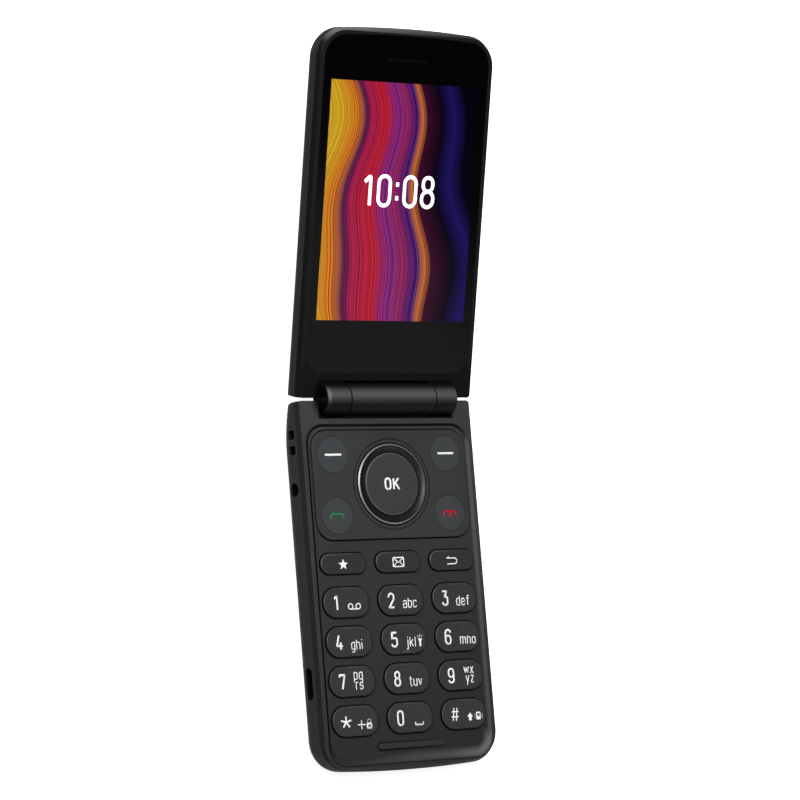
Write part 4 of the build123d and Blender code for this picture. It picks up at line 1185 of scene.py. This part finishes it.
@dataclass(frozen=True)
class Word:
    """Plain single-line letters or digits, set by the middle of their foot."""

    text: str
    place: Point
    height: float
    half: float
    width: float
    space: float = 0.35

    def strokes(self) -> list[Stroke]:
        """The lines of every letter, in the order of the text."""
        rise, gap = self.height - self.width, self.space + self.width
        letters = [GLYPHS[letter].split("; ") for letter in self.text]
        spans = [float(width) * self.half for width, *_ in letters]
        x = self.place[0] - (sum(spans) + gap * (len(spans) - 1)) / 2
        lines: list[Stroke] = []
        for (_, *paths), span in zip(letters, spans):
            middle = x + span / 2
            for path in paths:
                items = path.removeprefix("o ").split()
                points = tuple(self._point(item, middle, rise) for item in items)
                lines.append(Stroke(points, self.width, closed=path.startswith("o ")))
            x += span + self.space + self.width
        return lines

    def _point(self, item: str, middle: float, rise: float) -> Place:
        """Reads one point of a path.

        Args:
            item: place across, height and corner, parted by commas.
            middle: where the letter's middle is.
            rise: height between the letter's lowest and highest centre line.

        Returns:
            The point in millimetres, with its corner radius.
        """
        across, up, *corner = item.split(",")
        level = HEIGHTS[up] if up in HEIGHTS else float(up)
        bend = BEND if corner == ["b"] else float(corner[0]) if corner else SHARP
        foot = self.place[1] + self.width / 2
        return middle + float(across) * self.half, foot + level * rise, bend * self.half


Mark = Stroke | Patch | Word


def arc(centre: Point, radius: float, start: float, end: float, steps: int) -> tuple[Point, ...]:
    """Points along part of a circle, between two angles in degrees."""
    angles = [math.radians(start + (end - start) * i / steps) for i in range(steps + 1)]
    x, y = centre
    return tuple((x + radius * math.cos(a), y + radius * math.sin(a)) for a in angles)


@dataclass(frozen=True)
class Face:
    """Face to print on: its height on its half, and the material slot of what it is part of."""

    level: float
    slot: str
    half: Half = Half.BASE

    def printed(
        self, name: str, body: str, marks: list[Mark], place: Point, finish: str = "white_print"
    ) -> None:
        """Prints marks as one thin piece.

        Args:
            name: the piece's name.
            body: the body that it moves with.
            marks: what is printed, in millimetres about the place.
            place: the marks' origin on the half.
            finish: the print's finish.
        """
        form = bmesh.new()
        groups = [mark.strokes() if isinstance(mark, Word) else [mark] for mark in marks]
        for count, line in enumerate(sum(groups, [])):
            flat = line.mesh(finish)
            flat.transform(Matrix.Translation((0, 0, count * OVERLAP_STEP)))
            form.from_mesh(flat)
        form.transform(HINGE.matrix(self.half) @ Matrix.Translation((*place, self.level)))
        SHOP.piece(meshed(form, name, SHOP.material(finish)), name, body, self.slot)


@dataclass
class Keypad:
    """Function keys and number keys, with their legends and ridges."""

    columns: tuple[float, ...] = (-16.65, 0.0, 16.65)
    function_row: float = -41.8
    rows: tuple[float, ...] = (-51.6, -61.55, -71.5, -81.45)
    top: float = -0.2
    outline: KeyGrid = NUMBER_GRID
    first_ridge: int = -2
    ridge_pitch: float = 0.55
    ridge_width: float = 0.24
    ridge_height: float = 0.12
    ridge_margin: float = 0.45
    ridge_clearance: float = 0.008
    spot_radius: float = KeyCap.spot_radius
    spot_across: float = KeyCap.spot_across

    def digit(self, text: str) -> list[Mark]:
        """The large digit on the left of a key."""
        return [Word(text, (-3.12, -2.07), 4.04, 0.78, 0.5)]

    def small(self, text: str, x: float, y: float = -2.1) -> Word:
        """Small letters on the right of a key."""
        return Word(text, (x, y), 2.65, 0.47, 0.27, 0.33)

    def legends(self) -> dict[str, list[Mark | list[Mark]]]:
        """What is printed on each number key: the marks of its digit, then the others."""
        tape = [Stroke(arc((x, -1.1), 0.68, 0, 360, 20), 0.3) for x in (1.0, 3.3)]
        tape.append(Stroke(((1.0, -1.78), (3.3, -1.78)), 0.3))
        head, grip = ((4.0, -0.05), (5.3, -0.05), (4.95, -0.7)), ((4.9, -2.05), (4.4, -2.05))
        torch = [
            Patch((*head, *grip, (4.35, -0.7))),
            Stroke(((4.65, 0.3), (4.65, 1.0)), 0.16),
            Stroke(((4.2, 0.3), (3.95, 0.8)), 0.14),
            Stroke(((5.1, 0.3), (5.35, 0.8)), 0.14),
        ]
        x, y = -2.95, -0.2
        turns = (math.radians(90 + 72 * i) for i in range(5))
        star = [
            Stroke(((x, y), (x + 1.6 * math.cos(turn), y + 1.5 * math.sin(turn))), 0.46)
            for turn in turns
        ]
        lock = [
            Stroke(((3.3, -1.9), (4.5, -1.9), (4.5, -0.85), (3.3, -0.85)), 0.45, 0.05, closed=True),
            Stroke(((3.4, -0.6), (3.4, 0.3, 0.5), (4.4, 0.3, 0.5), (4.4, -0.6)), 0.1),
        ]
        plus = [
            Stroke(((0.4, -1.0), (2.7, -1.0)), 0.3),
            Stroke(((1.55, -2.15), (1.55, 0.15)), 0.24),
        ]
        space = Stroke(((1.3, -1.25), (1.3, -1.95), (3.7, -1.95), (3.7, -1.25)), 0.36, 0.12)
        head = ((0.8, -0.8), (1.7, 0.2), (2.6, -0.8))
        shift = Patch((*head, (2.15, -0.8), (2.15, -1.8), (1.25, -1.8), (1.25, -0.8)))
        buzz = [
            Stroke(((3.8, -1.55), (4.85, -1.55), (4.85, 0.1), (3.8, 0.1)), 0.34, 0.1, closed=True),
            Patch(((3.75, -1.6), (4.9, -1.6), (4.9, -0.85), (3.75, -0.85))),
            Stroke(((3.25, -1.35), (3.25, -0.2)), 0.12),
            Stroke(((5.45, -1.35), (5.45, -0.2)), 0.12),
        ]
        return {
            "key_1": [self.digit("1"), *tape],
            "key_2": [self.digit("2"), self.small("abc", 2.45)],
            "key_3": [self.digit("3"), self.small("def", 2.25)],
            "key_4": [self.digit("4"), self.small("ghi", 2.0)],
            "key_5": [self.digit("5"), self.small("jkl", 1.95), *torch],
            "key_6": [self.digit("6"), self.small("mno", 2.95)],
            "key_7": [self.digit("7"), self.small("pq", 1.65, 0.3), self.small("rs", 1.85, -2.2)],
            "key_8": [self.digit("8"), self.small("tuv", 2.35)],
            "key_9": [self.digit("9"), self.small("wx", 2.4, 0.15), self.small("yz", 2.6)],
            "key_star": [star, *plus, *lock],
            "key_0": [self.digit("0"), space],
            "key_hash": [[Word("#", (-2.9, -1.8), 3.6, 1.0, 0.34)], shift, *buzz],
        }

    def symbols(self) -> dict[str, list[Mark]]:
        """What is printed on the function keys."""
        turns = [(math.tau * i / 10, reach) for i, reach in enumerate((1.55, 0.62) * 5)]
        spikes = tuple(
            (reach * math.sin(turn) - 0.2, reach * 0.94 * math.cos(turn) - 0.25)
            for turn, reach in turns
        )
        envelope = [
            Stroke(((-1.65, -1.25), (1.65, -1.25), (1.65, 1.05), (-1.65, 1.05)), 0.32, 0.25, True),
            Stroke(((-1.5, 0.95), (0.0, -0.25), (1.5, 0.95)), 0.3, 0.1),
            Stroke(((-1.5, -1.1), (-0.4, 0.0)), 0.24),
            Stroke(((1.5, -1.1), (0.4, 0.0)), 0.24),
        ]
        back = [
            Stroke(((-1.3, 0.45), (1.55, 0.45, 0.75), (1.55, -1.05, 0.75), (-1.5, -1.05)), 0.3),
            Patch(((-1.8, 0.4), (-0.95, 1.0), (-0.95, 0.4))),
        ]
        return {"star_function_key": [Patch(spikes)], "message_key": envelope, "back_key": back}

    def ridges(self, name: str, place: Point) -> None:
        """Raises fine upright ridges on a key, clear of the spot behind its digit.

        Args:
            name: the key's name.
            place: the key's middle.
        """
        key = self.outline
        points: list[Place] = []
        lengths: list[float] = []
        last = int((key.half_width - self.ridge_margin) / self.ridge_pitch)
        for step in range(self.first_ridge, last):
            x = step * self.ridge_pitch + self.ridge_pitch / 2
            past = max(0.0, abs(x) - (key.half_width - key.corner))
            bow = math.sqrt(max(0.0, key.corner**2 - past**2))
            reach = key.half_length - key.corner + bow - self.ridge_margin
            gap = self.spot_radius**2 - (x - self.spot_across) ** 2
            inner = math.sqrt(max(0.0, gap))
            spans = [(inner, reach), (-reach, -inner)] if gap > 0 else [(-reach, reach)]
            for low, high in spans:
                if high - low > self.ridge_pitch:
                    points.append((x, (low + high) / 2, 0.0))
                    lengths.append(high - low)
        cloud = bpy.data.meshes.new("ridge_points")
        cloud.from_pydata(points, [], [])
        cloud.attributes.new("length", "FLOAT", "POINT").data.foreach_set("value", lengths)
        size = {"Width": self.ridge_width, "Height": self.ridge_height}
        mesh = TREES.run(cloud, TREES.slats, "ridge", **size)
        mesh.transform(HINGE.matrix(Half.BASE) @ Matrix.Translation((*place, self.top)))
        SHOP.piece(mesh, f"ridges_{name}", name, "key")

    def build(self) -> None:
        """Dresses the keys and prints their legends."""
        legends, symbols = self.legends(), self.symbols()
        SHOP.dress({"key_cap": " ".join(legends), "key": " ".join(symbols)})
        face = Face(self.top + PRINT_RISE, "key")
        raised = Face(face.level + self.ridge_height / 2 + self.ridge_clearance, "key")
        places = [(x, y) for y in self.rows for x in self.columns]
        for (name, (digit, *marks)), place in zip(legends.items(), places):
            self.ridges(name, place)
            face.printed(f"digit_{name}", name, digit, place)
            raised.printed(f"letters_{name}", name, marks, place)
        for (name, marks), x in zip(symbols.items(), self.columns):
            face.printed(f"legend_{name}", name, marks, (x, self.function_row))


@dataclass
class Navigation:
    """Panel above the keypad with its ring, select key and four round keys."""

    panel_level: float = -0.3
    select_rise: float = 0.1
    round_x: float = 17.35
    soft_row: float = -14.15
    call_row: float = -29.65

    def build(self) -> None:
        """Dresses the panel and its keys and prints their marks."""
        round_keys = "soft_key_left soft_key_right call_key end_key"
        SHOP.dress({"panel": "nav_panel", "ring": "nav_ring", "select": "select_key"})
        SHOP.dress({"rubber": "nav_ring_pad", "round_key": round_keys})
        bar = [Stroke(((-2.4, 0.0), (2.5, 0.0)), 0.55)]
        handset = [Stroke(((-2.05, -0.7), (-1.6, 0.4, 0.5), (1.6, 0.4, 0.5), (2.05, -0.7)), 0.5)]
        ended = [*handset, Patch(((-0.34, 0.1), (0.34, 0.1), (0.24, -1.05), (-0.24, -1.05)))]
        face = Face(self.panel_level + PRINT_RISE, "round_key")
        for name, side, row, marks, finish in (
            ("soft_key_left", -1, self.soft_row, bar, "white_print"),
            ("soft_key_right", 1, self.soft_row, bar, "white_print"),
            ("call_key", -1, self.call_row, handset, "green_print"),
            ("end_key", 1, self.call_row, ended, "red_print"),
        ):
            face.printed(f"mark_{name}", name, marks, (side * self.round_x, row), finish)
        words = [Word("OK", (0.0, -1.65), 3.35, 0.78, 0.55, 0.45)]
        top = Face(face.level + self.select_rise, "select")
        top.printed("mark_select_key", "select_key", words, (0.0, NAVIGATION_Y))


@dataclass
class Base:
    """Keypad half apart from its keys: casing, back, sockets, battery and board."""

    finishes: dict[str, str] = field(
        default_factory=lambda: {
            "base_casing": "base_front_housing",
            "inner_frame": "base_rear_housing",
            "back_cover": "battery_cover",
            "cell": "battery",
            "board": "main_board",
            "film": "dome_sheet",
            "rubber": "key_mat",
            "pad_rubber": "closing_pad",
            "dark_plastic": "jack_socket loudspeaker",
            "socket": "charge_socket",
            "side_key": "volume_key",
            "steel": "shield_can card_holder vibration_motor microphone base_screws "
            "hinge_cartridge",
        }
    )

    def build(self) -> None:
        """Dresses the solids."""
        SHOP.dress(self.finishes)


@dataclass
class Lid:
    """Display half: frame, window, lit picture, earpiece and what lies behind."""

    picture: Point = Picture.size
    picture_middle: float = Picture.middle
    picture_thickness: float = 0.02
    window_level: float = -0.27
    clock_middle: float = 53.0
    finishes: dict[str, str] = field(
        default_factory=lambda: {
            "lid_casing": "lid_front_frame",
            "lid_back": "lid_rear_cover",
            "window": "display_lens outer_lens",
            "mesh": "earpiece_mesh",
            "screen_off": "display_module outer_display",
            "dark_plastic": "earpiece_speaker camera_module",
            "board": "lid_board",
            "steel": "lid_screws closing_magnet hinge_shaft hinge_sleeve",
            "trim_ring": "camera_ring",
            "camera_glass": "camera_glass",
            "flash": "flash_lens",
        }
    )

    def screen(self) -> None:
        """Lays the lit picture just over the window."""
        form = bmesh.new()
        bmesh.ops.create_grid(form, x_segments=6, y_segments=8, size=0.5)
        faces = bmesh.ops.extrude_face_region(form, geom=form.faces[:])["geom"]
        raised = [part for part in faces if isinstance(part, BMVert)]
        bmesh.ops.translate(form, verts=raised, vec=(0, 0, 1))
        bmesh.ops.recalc_face_normals(form, faces=form.faces)
        size = Matrix.Diagonal((*self.picture, self.picture_thickness, 1))
        place = Matrix.Translation((0, self.picture_middle, self.window_level))
        form.transform(HINGE.matrix(Half.LID) @ place @ size)
        mesh = meshed(form, "screen_picture", SHOP.material("display"))
        SHOP.piece(mesh, "screen_picture", "lid", "display")

    def clock(self) -> None:
        """Shows the time in plain digits."""
        words = [Word("10:08", (0.0, -4.0), 8.5, 1.75, 0.95, 1.0)]
        level = self.window_level + self.picture_thickness + PRINT_RISE
        face = Face(level, "display", Half.LID)
        face.printed("screen_clock", "lid", words, (0.0, self.clock_middle), "lit_print")

    def build(self) -> None:
        """Dresses the solids and lights the screen."""
        SHOP.dress(self.finishes)
        self.screen()
        self.clock()


@dataclass
class Lamp:
    """Soft rectangular lamp aimed at the phone."""

    name: str
    place: Place
    target: Place
    size: Point
    power: float

    def build(self) -> None:
        """Hangs the lamp."""
        light = bpy.data.lights.new(self.name, "AREA")
        light.shape = "RECTANGLE"
        light.size, light.size_y = self.size
        light.energy = self.power
        lamp = put(self.name, light)
        lamp.location = self.place
        aim = Vector(self.target) - Vector(self.place)
        lamp.rotation_euler = aim.to_track_quat("-Z", "Y").to_euler()


@dataclass
class Studio:
    """Camera, lamps, pale floor and white surroundings."""

    camera_place: Place = (-0.4795, -0.0497, 0.7129)
    right: Place = (0.82612657, -0.07936392, 0.5578676)
    down: Place = (-0.0022725, -0.99049288, -0.13754522)
    ahead: Place = (0.56348001, 0.112362, -0.81845284)
    focal: float = 150.383
    sensor: float = 36.0
    shift: Point = (-0.0004, 0.0009)
    clip: Point = (0.01, 20.0)
    fill: float = 0.06
    floor_size: float = 6.0
    floor_colour: Colour = (0.8, 0.8, 0.8)
    floor_lift: float = 0.85
    lamps: tuple[Lamp, ...] = (
        Lamp("key_lamp", (-0.38, 0.32, 0.95), (0, 0.03, 0), (0.5, 0.5), 13.5),
        Lamp("edge_lamp", (-0.8, 0.9, 0.5), (0, 0.03, 0), (0.3, 0.3), 6.0),
        Lamp("lens_card", (0.43, -0.33, 0.6), (0, 0.05, 0), (0.36, 0.36), 0.6),
    )

    def camera(self) -> None:
        """Puts the camera where the photograph was taken from."""
        data = bpy.data.cameras.new("photo_camera")
        data.lens = self.focal
        data.sensor_width = self.sensor
        data.sensor_fit = "HORIZONTAL"
        data.shift_x, data.shift_y = self.shift
        data.clip_start, data.clip_end = self.clip
        camera = put("photo_camera", data)
        columns = (Vector(self.right), -Vector(self.down), -Vector(self.ahead))
        turn = Matrix(columns).transposed().to_4x4()
        camera.matrix_world = Matrix.Translation(self.camera_place) @ turn
        bpy.context.scene.camera = camera

    def surroundings(self) -> None:
        """Makes what is around white to look at, and much dimmer as light."""
        world = bpy.data.worlds.new("surroundings")
        bpy.context.scene.world = world
        world.use_nodes = True
        graph = Graph(world.node_tree)
        ray = graph.outputs(graph.add("ShaderNodeLightPath"))
        seen = (ray["Is Camera Ray"] + ray["Is Transmission Ray"]).clamped()
        background = world.node_tree.nodes["Background"]
        graph.fill(background, Color=WHITE, Strength=seen.most(self.fill))

    def floor(self) -> None:
        """Lays a white floor that keeps the phone's shadow."""
        form = bmesh.new()
        bmesh.ops.create_grid(form, x_segments=1, y_segments=1, size=self.floor_size / 2)
        surface = Surface("floor", self.floor_colour, 1.0, 0.0)
        graph = surface.graph
        ray = graph.outputs(graph.add("ShaderNodeLightPath"))
        lift = graph.blend(ray["Is Camera Ray"] * self.floor_lift, BLACK, WHITE)
        surface.set(Emission_Color=lift, Emission_Strength=1.0)
        put("floor", meshed(form, "floor", surface.done()))

    def build(self) -> None:
        """Sets up the studio."""
        self.camera()
        self.surroundings()
        self.floor()
        for lamp in self.lamps:
            lamp.build()
        bpy.context.scene.view_settings.view_transform = "Standard"


def main() -> None:
    """Builds every sub-assembly in order."""
    logging.basicConfig(level=logging.INFO)
    for assembly in (Base(), Navigation(), Keypad(), Lid(), Studio()):
        assembly.build()
        LOG.info("built %s", type(assembly).__name__)


if __name__ == "__main__":
    main()
